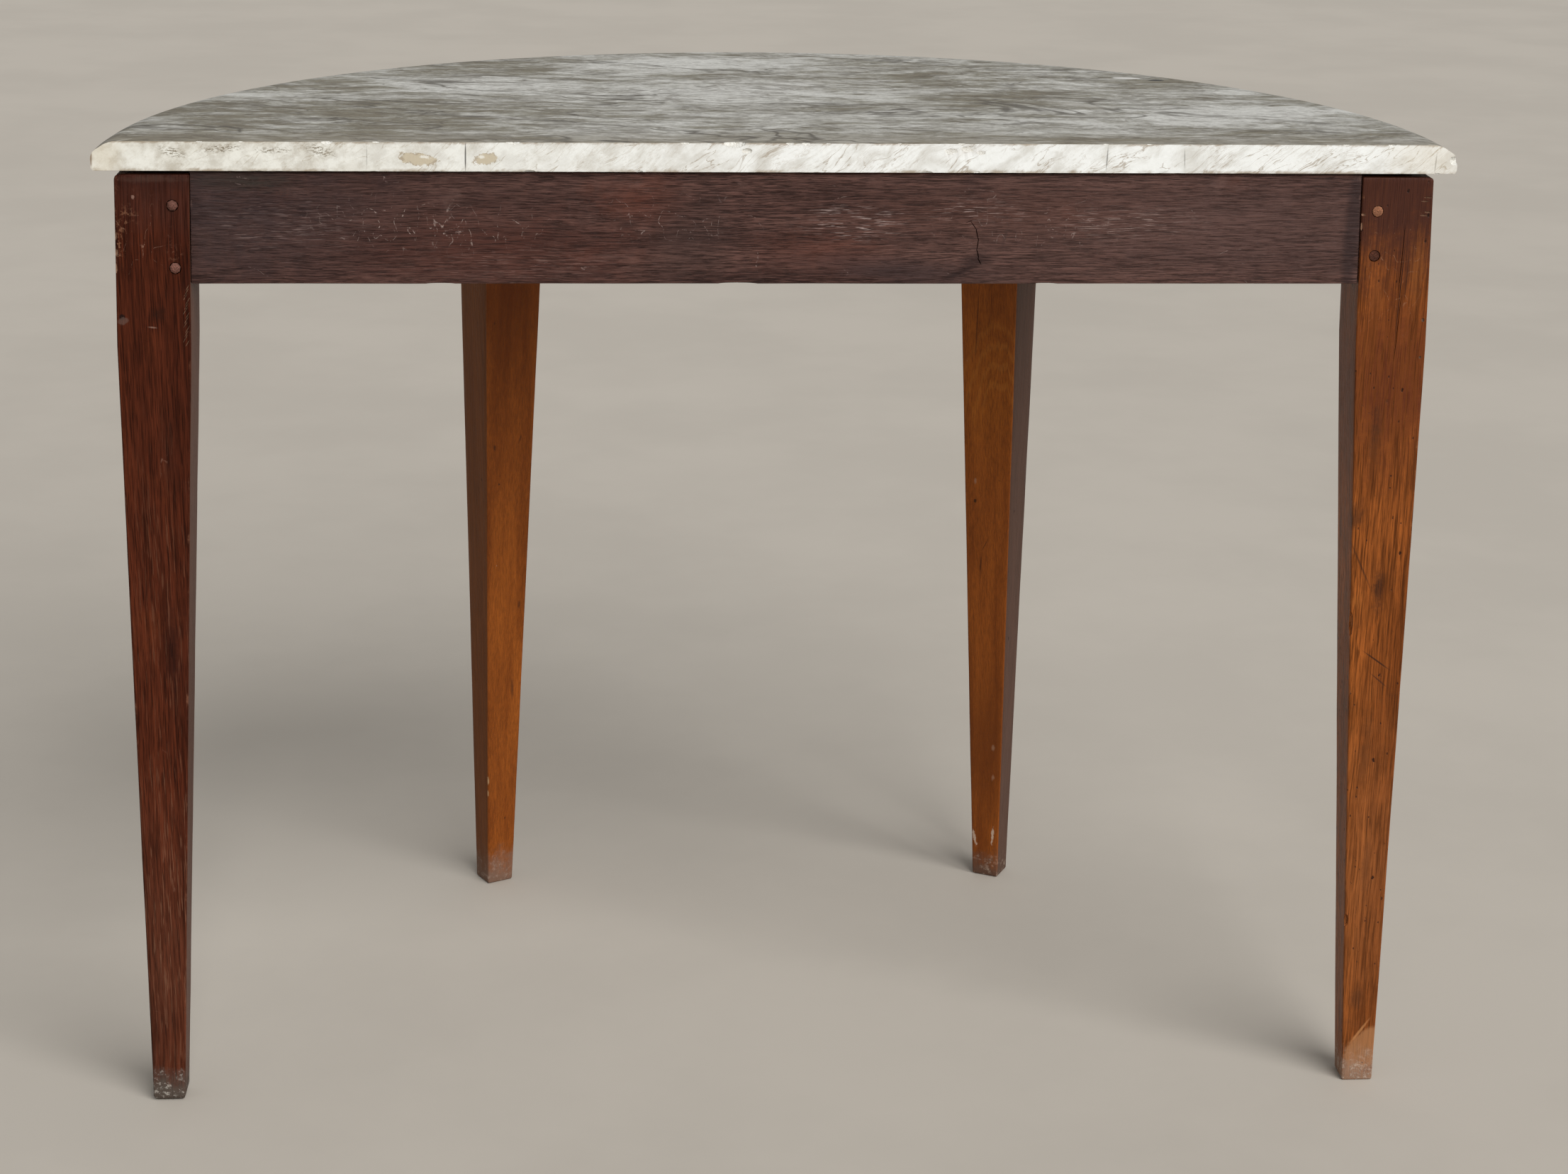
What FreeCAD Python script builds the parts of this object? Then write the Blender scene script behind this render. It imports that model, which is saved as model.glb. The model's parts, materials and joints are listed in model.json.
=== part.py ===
"""Demilune side table: a loose half-round marble slab on a pegged wooden frame.

The straight side faces -Y and the round side faces +Y. The origin lies on the floor under
the middle of the table's bounding box. All lengths are in millimetres.
"""
import FreeCAD
import Part
import math
import os

# Overall sizes
table_height = 800.0
slab_radius = 521.0
slab_thickness = 22.5
slab_upper_round = 9.0
slab_lower_round = 3.0

# How far the slab stands out past the frame
slab_back_overhang = 2.0
slab_side_overhang = 16.5
slab_front_overhang = 8.0

# Legs: square beside the rail, tapered from a drop below its lower edge, a little raked outwards
leg_section = 56.0
foot_section = 26.0
taper_start_drop = 49.0
leg_top_drop = 3.0
back_leg_rake = 9.0
front_leg_rake = 21.0
front_leg_angle = 28.0
foot_chamfer = 2.0

# Back rail and curved aprons
rail_height = 87.0
rail_thickness = 24.0
rail_setback = 1.5
apron_height = 87.0
apron_thickness = 24.0
apron_setback = 6.5

# Bearer that carries the middle of the slab
bearer_width = 60.0
bearer_thickness = 24.0
bearer_housing_depth = 8.0

# Mortise and tenon joints
tenon_thickness = 10.0
tenon_upper_shoulder = 8.0
tenon_lower_shoulder = 2.0
rail_mortise_outer_wall = 17.0
mortise_dividing_wall = 6.0
mortise_end_clearance = 1.0
mortise_side_clearance = 0.1

# Pegs: drops are measured from the slab's underside, rises from the lower edge of the rail or
# apron, and stands out from the leg's face
rail_peg_diameter = 8.5
rail_peg_inset = 13.5
apron_peg_diameter = 8.5
apron_peg_stand = 0.5
apron_upper_peg_drop = 29.0
apron_lower_peg_rise = 16.0
peg_bite = 8.0
peg_clearance = 0.1
left_upper_peg_drop = 26.5
left_lower_peg_rise = 12.5
right_upper_peg_drop = 29.5
right_lower_peg_rise = 22.5
left_peg_stand = 0.8
right_upper_peg_stand = 0.3
right_lower_peg_sink = 0.8

# Worked out from the sizes above
slab_edge_y = -slab_radius / 2
underside = table_height - slab_thickness
leg_top = underside - leg_top_drop
rail_low = underside - rail_height
apron_low = underside - apron_height
taper_start_height = rail_low - taper_start_drop
back_face_y = slab_edge_y + slab_back_overhang
back_leg_outer_x = slab_radius - slab_side_overhang
back_leg_inner_x = back_leg_outer_x - leg_section
back_leg_far_y = back_face_y + leg_section
front_leg_face_radius = slab_radius - slab_front_overhang
rail_near_y = back_face_y + rail_setback
rail_middle_y = rail_near_y + rail_thickness / 2
rail_far_y = rail_near_y + rail_thickness
rail_tenon_far_y = rail_middle_y + tenon_thickness / 2
apron_outer_radius = front_leg_face_radius - apron_setback
apron_inner_radius = apron_outer_radius - apron_thickness
apron_middle_radius = apron_outer_radius - apron_thickness / 2
rail_tenon_length = leg_section - rail_mortise_outer_wall - mortise_end_clearance
back_mortise_floor_y = rail_tenon_far_y + mortise_dividing_wall
back_tenon_length = back_leg_far_y - back_mortise_floor_y - mortise_end_clearance
front_tenon_length = (leg_section - mortise_dividing_wall) / 2 - mortise_end_clearance
axis_point = FreeCAD.Vector(0, slab_edge_y, 0)
up = FreeCAD.Vector(0, 0, 1)
sides = {"left": -1, "right": 1}


def block(low, high):
    """Box between two opposite corners, given in any order."""
    corner = FreeCAD.Vector(*[min(a, b) for a, b in zip(low, high)])
    size = [abs(b - a) for a, b in zip(low, high)]
    return Part.makeBox(size[0], size[1], size[2], corner)


def turned(shape, angle):
    """Copy of a shape turned about the slab's upright axis."""
    return shape.copy().rotate(axis_point, up, angle)


def rectangle(x_span, y_span, height):
    """Closed rectangular outline at a height."""
    x0, x1 = sorted(x_span)
    y0, y1 = sorted(y_span)
    corners = [(x0, y0), (x1, y0), (x1, y1), (x0, y1), (x0, y0)]
    return Part.makePolygon([FreeCAD.Vector(x, y, height) for x, y in corners])


def tapered_leg(top_x, top_y, foot_x, foot_y):
    """Leg that is square above the start of its taper, with the foot's arrises taken off."""
    upper = block((top_x[0], top_y[0], taper_start_height), (top_x[1], top_y[1], leg_top))
    outlines = [rectangle(foot_x, foot_y, 0), rectangle(top_x, top_y, taper_start_height)]
    leg = upper.fuse(Part.makeLoft(outlines, True, True)).removeSplitter()
    foot_edges = [edge for edge in leg.Edges if edge.BoundBox.ZMax < foot_chamfer]
    return leg.makeChamfer(foot_chamfer, foot_edges)


def grown(span, amount):
    """Span made wider by the same amount at both ends."""
    return min(span) - amount, max(span) + amount


def peg(diameter, start, end):
    """Round peg between two points."""
    length = (end - start).Length
    return Part.makeCylinder(diameter / 2, length, start, end - start)


def peg_hole(diameter, start, end):
    """Hole for a peg, wider by the clearance all round."""
    return peg(diameter + 2 * peg_clearance, start, end)


# Slab
def half_round_slab():
    """Half turn of the slab's edge profile, with a round upper arris and a small lower one."""
    def point(x, z):
        return FreeCAD.Vector(x, slab_edge_y, z)

    x0, z0 = slab_radius - slab_lower_round, underside
    x1, z1 = slab_radius - slab_upper_round, table_height
    middle_share = 1 - math.sqrt(0.5)
    lower_middle = point(slab_radius - slab_lower_round * middle_share, z0 + slab_lower_round * middle_share)
    upper_middle = point(slab_radius - slab_upper_round * middle_share, z1 - slab_upper_round * middle_share)
    lower_end = point(slab_radius, z0 + slab_lower_round)
    upper_start = point(slab_radius, z1 - slab_upper_round)
    edges = [
        Part.makeLine(point(0, z0), point(x0, z0)),
        Part.Arc(point(x0, z0), lower_middle, lower_end).toShape(),
        Part.makeLine(lower_end, upper_start),
        Part.Arc(upper_start, upper_middle, point(x1, z1)).toShape(),
        Part.makeLine(point(x1, z1), point(0, z1)),
        Part.makeLine(point(0, z1), point(0, z0)),
    ]
    return Part.Face(Part.Wire(edges)).revolve(axis_point, up, 180)


# Where each tenon lies: rail tenons along X, apron tenons along Y at the back legs
rail_tenon_z = (rail_low + tenon_lower_shoulder, underside - tenon_upper_shoulder)
rail_tenon_y = (rail_middle_y - tenon_thickness / 2, rail_tenon_far_y)
apron_tenon_z = (apron_low + tenon_lower_shoulder, underside - tenon_upper_shoulder)
back_shoulder_rise = back_leg_far_y - slab_edge_y
back_tenon_middle_x = math.sqrt(apron_middle_radius**2 - back_shoulder_rise**2)
front_tenon_middle_y = slab_edge_y + math.sqrt(apron_middle_radius**2 - (leg_section / 2) ** 2)
front_tenon_y = (front_tenon_middle_y - tenon_thickness / 2, front_tenon_middle_y + tenon_thickness / 2)


def back_tenon_x(side):
    middle = side * back_tenon_middle_x
    return middle - tenon_thickness / 2, middle + tenon_thickness / 2


# Each rail peg's height, and how far it stands out from the leg's face
rail_pegs = {
    "left_upper_rail_peg": (underside - left_upper_peg_drop, left_peg_stand),
    "left_lower_rail_peg": (rail_low + left_lower_peg_rise, left_peg_stand),
    "right_upper_rail_peg": (underside - right_upper_peg_drop, right_upper_peg_stand),
    "right_lower_rail_peg": (rail_low + right_lower_peg_rise, -right_lower_peg_sink),
}
apron_peg_heights = (underside - apron_upper_peg_drop, apron_low + apron_lower_peg_rise)


# Where each peg lies, as the points where it starts outside and ends inside its leg
def rail_peg_line(name, stand):
    side = sides[name.split("_")[0]]
    x = side * (back_leg_inner_x + rail_peg_inset)
    z = rail_pegs[name][0]
    start = FreeCAD.Vector(x, back_face_y - stand, z)
    return start, FreeCAD.Vector(x, rail_tenon_far_y + peg_bite, z)


def back_apron_peg_lines(side):
    y = back_leg_far_y - back_tenon_length / 2
    end_x = back_tenon_middle_x - tenon_thickness / 2 - peg_bite
    for z in apron_peg_heights:
        start = FreeCAD.Vector(side * (back_leg_outer_x + apron_peg_stand), y, z)
        yield start, FreeCAD.Vector(side * end_x, y, z)


def front_apron_peg_lines(side):
    """Lines in a front leg that stands straight ahead, on its left or right half."""
    x = side * (leg_section - front_tenon_length) / 2
    start_y = slab_edge_y + front_leg_face_radius + apron_peg_stand
    for z in apron_peg_heights:
        start = FreeCAD.Vector(x, start_y, z)
        yield start, FreeCAD.Vector(x, front_tenon_y[0] - peg_bite, z)


# Cuts and additions that the legs, the rail and the aprons share
def back_mortises(side):
    """Mortises of one back leg, for the rail and for the apron."""
    reach = rail_tenon_length + mortise_end_clearance
    rail_x = (side * back_leg_inner_x, side * (back_leg_inner_x + reach))
    rail_y = grown(rail_tenon_y, mortise_side_clearance)
    rail_z = grown(rail_tenon_z, mortise_side_clearance)
    apron_x = grown(back_tenon_x(side), mortise_side_clearance)
    apron_z = grown(apron_tenon_z, mortise_side_clearance)
    return [
        block((rail_x[0], rail_y[0], rail_z[0]), (rail_x[1], rail_y[1], rail_z[1])),
        block((apron_x[0], back_mortise_floor_y, apron_z[0]), (apron_x[1], back_leg_far_y, apron_z[1])),
    ]


def front_mortise(side):
    """Mortise on the left or right half of a front leg that stands straight ahead."""
    low_y, high_y = grown(front_tenon_y, mortise_side_clearance)
    low_z, high_z = grown(apron_tenon_z, mortise_side_clearance)
    return block((side * leg_section / 2, low_y, low_z), (side * mortise_dividing_wall / 2, high_y, high_z))


def rail_peg_holes(side):
    names = [name for name in rail_pegs if sides[name.split("_")[0]] == side]
    return [peg_hole(rail_peg_diameter, *rail_peg_line(name, 0)) for name in names]


def back_apron_peg_holes(side):
    return [peg_hole(apron_peg_diameter, *line) for line in back_apron_peg_lines(side)]


def front_apron_peg_holes(side):
    return [peg_hole(apron_peg_diameter, *line) for line in front_apron_peg_lines(side)]


def front_leg_turn(side):
    """Angle that turns the straight-ahead front leg to its place on one side."""
    return -side * front_leg_angle


# Legs
def back_leg(side):
    foot_outer_x = back_leg_outer_x + back_leg_rake
    top_x = (side * back_leg_inner_x, side * back_leg_outer_x)
    foot_x = (side * (foot_outer_x - foot_section), side * foot_outer_x)
    top_y = (back_face_y, back_leg_far_y)
    leg = tapered_leg(top_x, top_y, foot_x, (back_face_y, back_face_y + foot_section))
    return leg.cut(back_mortises(side) + rail_peg_holes(side) + back_apron_peg_holes(side))


def front_leg(side):
    face_y = slab_edge_y + front_leg_face_radius
    foot_face_y = face_y + front_leg_rake
    top_x = (-leg_section / 2, leg_section / 2)
    foot_x = (-foot_section / 2, foot_section / 2)
    top_y = (face_y - leg_section, face_y)
    foot_y = (foot_face_y - foot_section, foot_face_y)
    leg = tapered_leg(top_x, top_y, foot_x, foot_y)
    cuts = [front_mortise(half) for half in sides.values()]
    for half in sides.values():
        cuts += front_apron_peg_holes(half)
    return turned(leg.cut(cuts), front_leg_turn(side))


# Rail, aprons and bearer
def bearer():
    low = (-bearer_width / 2, rail_far_y - bearer_housing_depth, underside - bearer_thickness)
    high = (bearer_width / 2, slab_edge_y + apron_inner_radius + bearer_housing_depth, underside)
    return block(low, high)


def back_rail():
    low_x, high_x = -back_leg_inner_x, back_leg_inner_x
    rail = block((low_x, rail_near_y, rail_low), (high_x, rail_far_y, underside))
    low = (low_x - rail_tenon_length, rail_tenon_y[0], rail_tenon_z[0])
    high = (high_x + rail_tenon_length, rail_tenon_y[1], rail_tenon_z[1])
    holes = rail_peg_holes(sides["left"]) + rail_peg_holes(sides["right"])
    return rail.fuse(block(low, high)).removeSplitter().cut(holes + [bearer()])


def apron_ring():
    start = FreeCAD.Vector(0, slab_edge_y, apron_low)
    outer = Part.makeCylinder(apron_outer_radius, apron_height, start, up)
    return outer.cut(Part.makeCylinder(apron_inner_radius, apron_height, start, up))


def beside_front_leg(leg_side, half):
    """All space on the left or right of one front leg, from its side face outwards."""
    near, far = half * leg_section / 2, half * 2 * slab_radius
    wide = 2 * slab_radius
    space = block((near, slab_edge_y - wide, 0), (far, slab_edge_y + wide, table_height))
    return turned(space, front_leg_turn(leg_side))


def front_tenon(leg_side, half):
    """Tenon into one front leg from its left or right, rooted in the apron beside it."""
    tip = half * (leg_section / 2 - front_tenon_length)
    root = half * (leg_section / 2 + tenon_thickness)
    shape = block((tip, front_tenon_y[0], apron_tenon_z[0]), (root, front_tenon_y[1], apron_tenon_z[1]))
    holes = front_apron_peg_holes(half)
    return turned(shape.cut(holes), front_leg_turn(leg_side))


def back_tenon(side):
    """Tenon into one back leg, rooted in the apron ahead of it."""
    low_x, high_x = back_tenon_x(side)
    tip_y, root_y = back_leg_far_y - back_tenon_length, back_leg_far_y + tenon_thickness
    shape = block((low_x, tip_y, apron_tenon_z[0]), (high_x, root_y, apron_tenon_z[1]))
    return shape.cut(back_apron_peg_holes(side))


def front_apron():
    left, right = sides["left"], sides["right"]
    body = apron_ring().common(beside_front_leg(left, right)).common(beside_front_leg(right, left))
    body = body.fuse([front_tenon(left, right), front_tenon(right, left)]).removeSplitter()
    return body.cut(bearer())


def side_apron(side):
    wide = 2 * slab_radius
    ahead = block((-wide, back_leg_far_y, 0), (wide, back_leg_far_y + wide, table_height))
    body = apron_ring().common(ahead).common(beside_front_leg(side, side))
    return body.fuse([back_tenon(side), front_tenon(side, side)]).removeSplitter()


# Pegs
def rail_peg(name):
    return peg(rail_peg_diameter, *rail_peg_line(name, rail_pegs[name][1]))


def front_leg_pegs(leg_side, half):
    pegs = [peg(apron_peg_diameter, *line) for line in front_apron_peg_lines(half)]
    return [turned(shape, front_leg_turn(leg_side)) for shape in pegs]


def side_apron_pegs(side):
    at_back = [peg(apron_peg_diameter, *line) for line in back_apron_peg_lines(side)]
    return Part.makeCompound(at_back + front_leg_pegs(side, side))


def front_apron_pegs():
    left, right = sides["left"], sides["right"]
    return Part.makeCompound(front_leg_pegs(left, right) + front_leg_pegs(right, left))


def save(node, shape):
    """Write one node, and stop if its shape is broken."""
    if not shape.isValid() or not shape.Solids:
        raise ValueError(f"{node} is not a sound solid")
    shape.exportStep(os.path.join("parts", f"{node}.step"))
    print(node, len(shape.Solids), round(shape.Volume))


os.makedirs("parts", exist_ok=True)
save("marble_top", half_round_slab())
save("back_rail", back_rail())
save("bearer", bearer())
save("front_apron", front_apron())
save("front_apron_pegs", front_apron_pegs())
for label, side in sides.items():
    save(f"back_{label}_leg", back_leg(side))
    save(f"front_{label}_leg", front_leg(side))
    save(f"{label}_apron", side_apron(side))
    save(f"{label}_apron_pegs", side_apron_pegs(side))
for name in rail_pegs:
    save(name, rail_peg(name))
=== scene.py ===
"""Half-round table: an aged marble slab on a pegged wooden frame.

The file is laid out as an add-on and is run as a script. The sizes and colours
are properties of the scene, and each operator makes one piece, or one group of
like pieces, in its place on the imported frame.
"""
import json
import math
import random

import bmesh
import bpy
from mathutils import Matrix, Vector

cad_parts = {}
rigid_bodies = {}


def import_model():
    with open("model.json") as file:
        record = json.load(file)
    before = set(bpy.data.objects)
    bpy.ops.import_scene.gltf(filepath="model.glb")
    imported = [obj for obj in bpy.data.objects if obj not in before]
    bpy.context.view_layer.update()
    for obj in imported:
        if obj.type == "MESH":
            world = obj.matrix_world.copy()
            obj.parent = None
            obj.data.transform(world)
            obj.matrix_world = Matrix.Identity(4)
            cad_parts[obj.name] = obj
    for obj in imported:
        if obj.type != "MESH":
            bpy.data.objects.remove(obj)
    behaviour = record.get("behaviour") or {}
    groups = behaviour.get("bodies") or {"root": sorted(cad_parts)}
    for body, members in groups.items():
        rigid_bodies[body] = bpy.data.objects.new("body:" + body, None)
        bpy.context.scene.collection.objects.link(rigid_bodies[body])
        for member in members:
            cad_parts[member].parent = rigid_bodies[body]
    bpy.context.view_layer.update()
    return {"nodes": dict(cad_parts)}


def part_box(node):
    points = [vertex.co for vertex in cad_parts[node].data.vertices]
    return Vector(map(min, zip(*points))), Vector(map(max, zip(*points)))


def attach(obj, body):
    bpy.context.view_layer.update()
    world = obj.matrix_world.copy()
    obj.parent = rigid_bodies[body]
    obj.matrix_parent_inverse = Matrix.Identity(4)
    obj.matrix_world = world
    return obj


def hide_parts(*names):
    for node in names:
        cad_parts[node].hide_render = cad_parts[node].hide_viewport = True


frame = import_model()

bl_info = {
    "name": "Half-Round Table",
    "version": (1, 0, 0),
    "blender": (4, 5, 0),
    "location": "3D View > Sidebar > Table",
    "description": "Makes a half-round marble table on a pegged wooden frame",
    "category": "Object",
}

SLAB_LOW, SLAB_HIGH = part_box("marble_top")
RAIL_LOW, RAIL_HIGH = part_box("back_rail")
LEFT_LOW, LEFT_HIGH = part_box("back_left_leg")
RIGHT_LOW, RIGHT_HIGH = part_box("back_right_leg")
BEARER_LOW, BEARER_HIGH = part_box("bearer")
AXIS = Vector((0.0, SLAB_LOW.y, 0.0))

# what counts as touching, sharp or alike when a shape is worked, in metres and radians
WELD = 1e-5
NEAR = 0.001
SHARP = 0.8
SMOOTH_BELOW = math.radians(35.0)
ALONG_SHARE = 0.97
LEVEL_SHARE = 0.1
FIN_LIKENESS = 0.03

# unevenness of the wood: size of its waves, and the sole that stays flat, in metres
WAVE_SIZE = 0.09
SOLE = 0.012
SOLE_FADE = 0.02

# directions, and how far the grain is drawn out along them
X, Y, Z = Vector((1.0, 0.0, 0.0)), Vector((0.0, 1.0, 0.0)), Vector((0.0, 0.0, 1.0))
UPRIGHT = (1.0, 1.0, 0.035)
LENGTHWISE = (0.035, 1.0, 1.0)
INWARD = (1.0, 0.035, 1.0)
FLAT = (0.0, 0.0, 0.0)

# small sizes of the slab, in metres
NOSING_ROUNDS = (0.0045, 0.0055)
SLAB_FACETS = 360
TOP_BORDER = 0.012
EDGE_BORDER = 0.0025
CHIP_COUNT = 26
MARBLE_DENT = 0.0007

# small sizes of the pegs, in metres
PEG_DOMES = {"left_upper_rail_peg": 0.0018, "left_lower_rail_peg": 0.0016,
             "right_upper_rail_peg": 0.0003, "right_lower_rail_peg": -0.0003}
PEG_FIT = 0.99
PEG_RIM = 0.0004
PEG_CROWN = 0.0015
PEG_ARRIS = 0.00018
APRON_PEG_ARRIS = 0.0006

# the studio: light, camera place and camera turn
FLOOR_SIZE = 60.0
WORLD_TONE, WORLD_STRENGTH = (1.0, 0.99, 0.97, 1.0), 0.32
SUN_TOWARD, SUN_STRENGTH = Vector((-0.55, 0.90, -0.75)), 2.9
SUN_SPREAD, SUN_TONE = math.radians(48.0), (1.0, 0.985, 0.96)
CAMERA_PLACE = (-0.1501, -2.5148, 1.1745)
CAMERA_YAW, CAMERA_PITCH, CAMERA_ROLL = math.radians(3.93), math.radians(17.87), math.radians(0.83)
CAMERA_SENSOR, CAMERA_LENS = 36.0, 68.52


def length(name, description, default):
    """A property that holds a length in metres."""
    return bpy.props.FloatProperty(
        name=name, description=description, default=default, min=0.0,
        precision=4, subtype="DISTANCE", unit="LENGTH")


def colour(name, description, default):
    """A property that holds a colour."""
    return bpy.props.FloatVectorProperty(
        name=name, description=description, default=default, min=0.0, max=1.0,
        size=3, subtype="COLOR")


class TableSizes(bpy.types.PropertyGroup):
    """Sizes of the table that a user would change."""

    slab_nosing: length("Slab nosing", "Reach of the slope along the slab's upper curved edge", 0.014)
    slab_nosing_drop: length("Slab nosing drop", "Height of the slope along the upper curved edge", 0.009)
    slab_lower_round: length("Slab lower round", "Radius along the slab's lower curved edge", 0.003)
    slab_arris: length("Slab arris", "Rounding of the slab's straight edges", 0.0010)
    leg_section: length("Leg section", "Width of a leg at its head", 0.056)
    foot_section: length("Foot section", "Width of a leg at the floor", 0.026)
    taper_drop: length("Taper drop", "How far below the rail the taper starts", 0.049)
    left_lean: length("Left lean", "How far the left back leg's head leans out at the taper", 0.0045)
    right_lean: length("Right lean", "How far the right back leg's head leans out at the taper", 0.0040)
    leg_arris: length("Leg arris", "Rounding of a leg's long edges", 0.0014)
    leg_top_round: length("Leg top round", "Rounding of a back leg's outer top corner", 0.0042)
    foot_round: length("Foot round", "Rounding of a foot's worn edges", 0.0034)
    front_leg_reach: length("Front leg reach", "Radius of a front leg's outer face at its head", 0.513)
    front_foot_reach: length("Front foot reach", "Radius of a front leg's outer face at the floor", 0.534)
    front_leg_angle: bpy.props.FloatProperty(
        name="Front leg angle", description="Turn of a front leg from the table's middle",
        default=math.radians(28.0), subtype="ANGLE", unit="ROTATION")
    apron_inside: length("Apron inside", "Inner radius of the curved aprons", 0.4825)
    apron_outside: length("Apron outside", "Outer radius of the curved aprons", 0.5065)
    board_arris: length("Board arris", "Rounding of the boards' edges", 0.0012)
    rail_hollow: length("Rail hollow", "Slope along the rail's upper outer edge, under the slab", 0.0026)
    joint_gap: length("Joint gap", "Dark gap where a board meets a leg", 0.0004)
    peg_hole: length("Peg hole", "Diameter of the holes round the pegs", 0.0092)
    unevenness: length("Unevenness", "How far a worn wooden face strays from flat", 0.0006)


class TableColours(bpy.types.PropertyGroup):
    """Colours of the table that a user would change."""

    marble_pale: colour("Marble pale", "Clean parts of the slab's top", (0.655, 0.655, 0.625))
    marble_soiled: colour("Marble soiled", "Soiled parts of the slab's top", (0.268, 0.254, 0.208))
    marble_edge: colour("Marble edge", "Slab's straight edge", (0.87, 0.89, 0.88))
    marble_broken: colour("Marble broken", "Inside of a chip", (0.86, 0.86, 0.83))
    rail_pale: colour("Rail pale", "Early wood of the rail", (0.108, 0.055, 0.045))
    rail_dark: colour("Rail dark", "Late wood of the rail", (0.045, 0.0215, 0.018))
    dark_leg_pale: colour("Dark leg pale", "Early wood of the dark leg", (0.084, 0.0188, 0.0075))
    dark_leg_dark: colour("Dark leg dark", "Late wood of the dark leg", (0.028, 0.0055, 0.0024))
    worn_leg_pale: colour("Worn leg pale", "Early wood of the worn leg", (0.285, 0.082, 0.016))
    worn_leg_dark: colour("Worn leg dark", "Late wood of the worn leg", (0.145, 0.038, 0.007))
    front_leg_pale: colour("Front leg pale", "Early wood of the front legs", (0.30, 0.082, 0.011))
    front_leg_dark: colour("Front leg dark", "Late wood of the front legs", (0.165, 0.040, 0.005))
    apron_pale: colour("Apron pale", "Early wood of the aprons", (0.16, 0.055, 0.026))
    apron_dark: colour("Apron dark", "Late wood of the aprons", (0.06, 0.02, 0.01))
    bearer_pale: colour("Bearer pale", "Early wood of the bearer", (0.300, 0.190, 0.110))
    bearer_dark: colour("Bearer dark", "Late wood of the bearer", (0.170, 0.095, 0.052))
    peg_dark: colour("Dark peg", "Wood of the dark pegs", (0.085, 0.030, 0.018))
    peg_rubbed: colour("Rubbed peg", "Wood of the rubbed pegs in the dark leg", (0.150, 0.066, 0.050))
    fresh_cut: colour("Fresh cut", "Bare wood inside nicks and cuts", (0.300, 0.165, 0.105))
    peg_light: colour("Light peg", "Wood of the light peg", (0.300, 0.130, 0.070))
    floor: colour("Floor", "Plain floor under the table", (0.54, 0.5, 0.445))


# Modelling helpers


def start():
    """Leave edit mode with nothing selected."""
    if bpy.context.mode != "OBJECT":
        bpy.ops.object.mode_set(mode="OBJECT")
    bpy.ops.object.select_all(action="DESELECT")


def choose(piece):
    """Select one piece and nothing else."""
    start()
    bpy.context.view_layer.objects.active = piece
    piece.select_set(True)


def work_on(piece):
    """Open a piece in edit mode with none of it selected."""
    choose(piece)
    bpy.ops.object.mode_set(mode="EDIT")
    bpy.ops.mesh.select_all(action="DESELECT")


def take_all():
    """Select the whole of the open piece."""
    bpy.ops.mesh.select_all(action="SELECT")


def named(name):
    """Name the new primitive, put its place into its mesh and open it in edit mode."""
    piece = bpy.context.object
    piece.name = piece.data.name = name
    bpy.ops.object.transform_apply(location=True, rotation=True, scale=True)
    work_on(piece)
    return piece


def block(name, low, high):
    """Start a piece as a block between two corners."""
    start()
    low, high = Vector(low), Vector(high)
    bpy.ops.mesh.primitive_cube_add(size=1.0, location=(low + high) / 2, scale=high - low)
    return named(name)


def pick(piece, kind, test):
    """Select the points, edges or faces of the open piece that pass the test."""
    bpy.ops.mesh.select_mode(type=kind)
    bpy.ops.mesh.select_all(action="DESELECT")
    shape = bmesh.from_edit_mesh(piece.data)
    for item in {"VERT": shape.verts, "EDGE": shape.edges, "FACE": shape.faces}[kind]:
        if test(item):
            item.select_set(True)
    shape.select_flush_mode()
    bmesh.update_edit_mesh(piece.data)


def round_off(piece, test, offset, segments=2):
    """Round the edges of the open piece that pass the test."""
    pick(piece, "EDGE", test)
    bpy.ops.mesh.bevel(offset=offset, segments=segments, affect="EDGES")


def split(piece, test, cuts):
    """Cut the edges of the open piece that pass the test into even lengths."""
    pick(piece, "EDGE", test)
    bpy.ops.mesh.subdivide(number_cuts=cuts)


def run_of(edge):
    """Direction of an edge with its length."""
    return edge.verts[1].co - edge.verts[0].co


def lies_along(direction, at_least):
    """A test for edges longer than a length that lie along a direction."""
    return lambda edge: (edge.calc_length() > at_least
                         and abs(run_of(edge).dot(direction)) > ALONG_SHARE * edge.calc_length())


def is_level(at_least):
    """A test for level edges longer than a length."""
    return lambda edge: (edge.calc_length() > at_least
                         and abs(run_of(edge).z) < LEVEL_SHARE * edge.calc_length())


def is_corner(edge, sharper_than=SHARP):
    """True for an edge where two faces meet at a sharp angle."""
    return edge.is_manifold and edge.calc_face_angle(0.0) > sharper_than


def is_fin(face):
    """True for one of a pair of slivers that a cut has left standing on an edge."""
    size = face.calc_area()
    return any(other != face and abs(other.calc_area() - size) < FIN_LIKENESS * size
               for edge in face.edges if len(edge.link_faces) > 2 for other in edge.link_faces)


def apply(piece, kind, **settings):
    """Add a modifier to a piece and apply it."""
    choose(piece)
    modifier = piece.modifiers.new(kind.title(), kind)
    for key, value in settings.items():
        setattr(modifier, key, value)
    bpy.ops.object.modifier_apply(modifier=modifier.name)


def cut(piece, cutters, material):
    """Take the cutters out of a piece, with a material for the faces that are laid bare."""
    start()
    for cutter in cutters:
        cutter.data.materials.append(material)
        cutter.select_set(True)
    bpy.context.view_layer.objects.active = cutters[0]
    bpy.ops.object.join()
    cutter = bpy.context.object
    apply(piece, "BOOLEAN", object=cutter, operation="DIFFERENCE", solver="EXACT",
          use_self=True, material_mode="TRANSFER")
    bpy.data.meshes.remove(cutter.data)
    work_on(piece)
    pick(piece, "FACE", is_fin)
    bpy.ops.mesh.delete(type="FACE")
    start()


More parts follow.
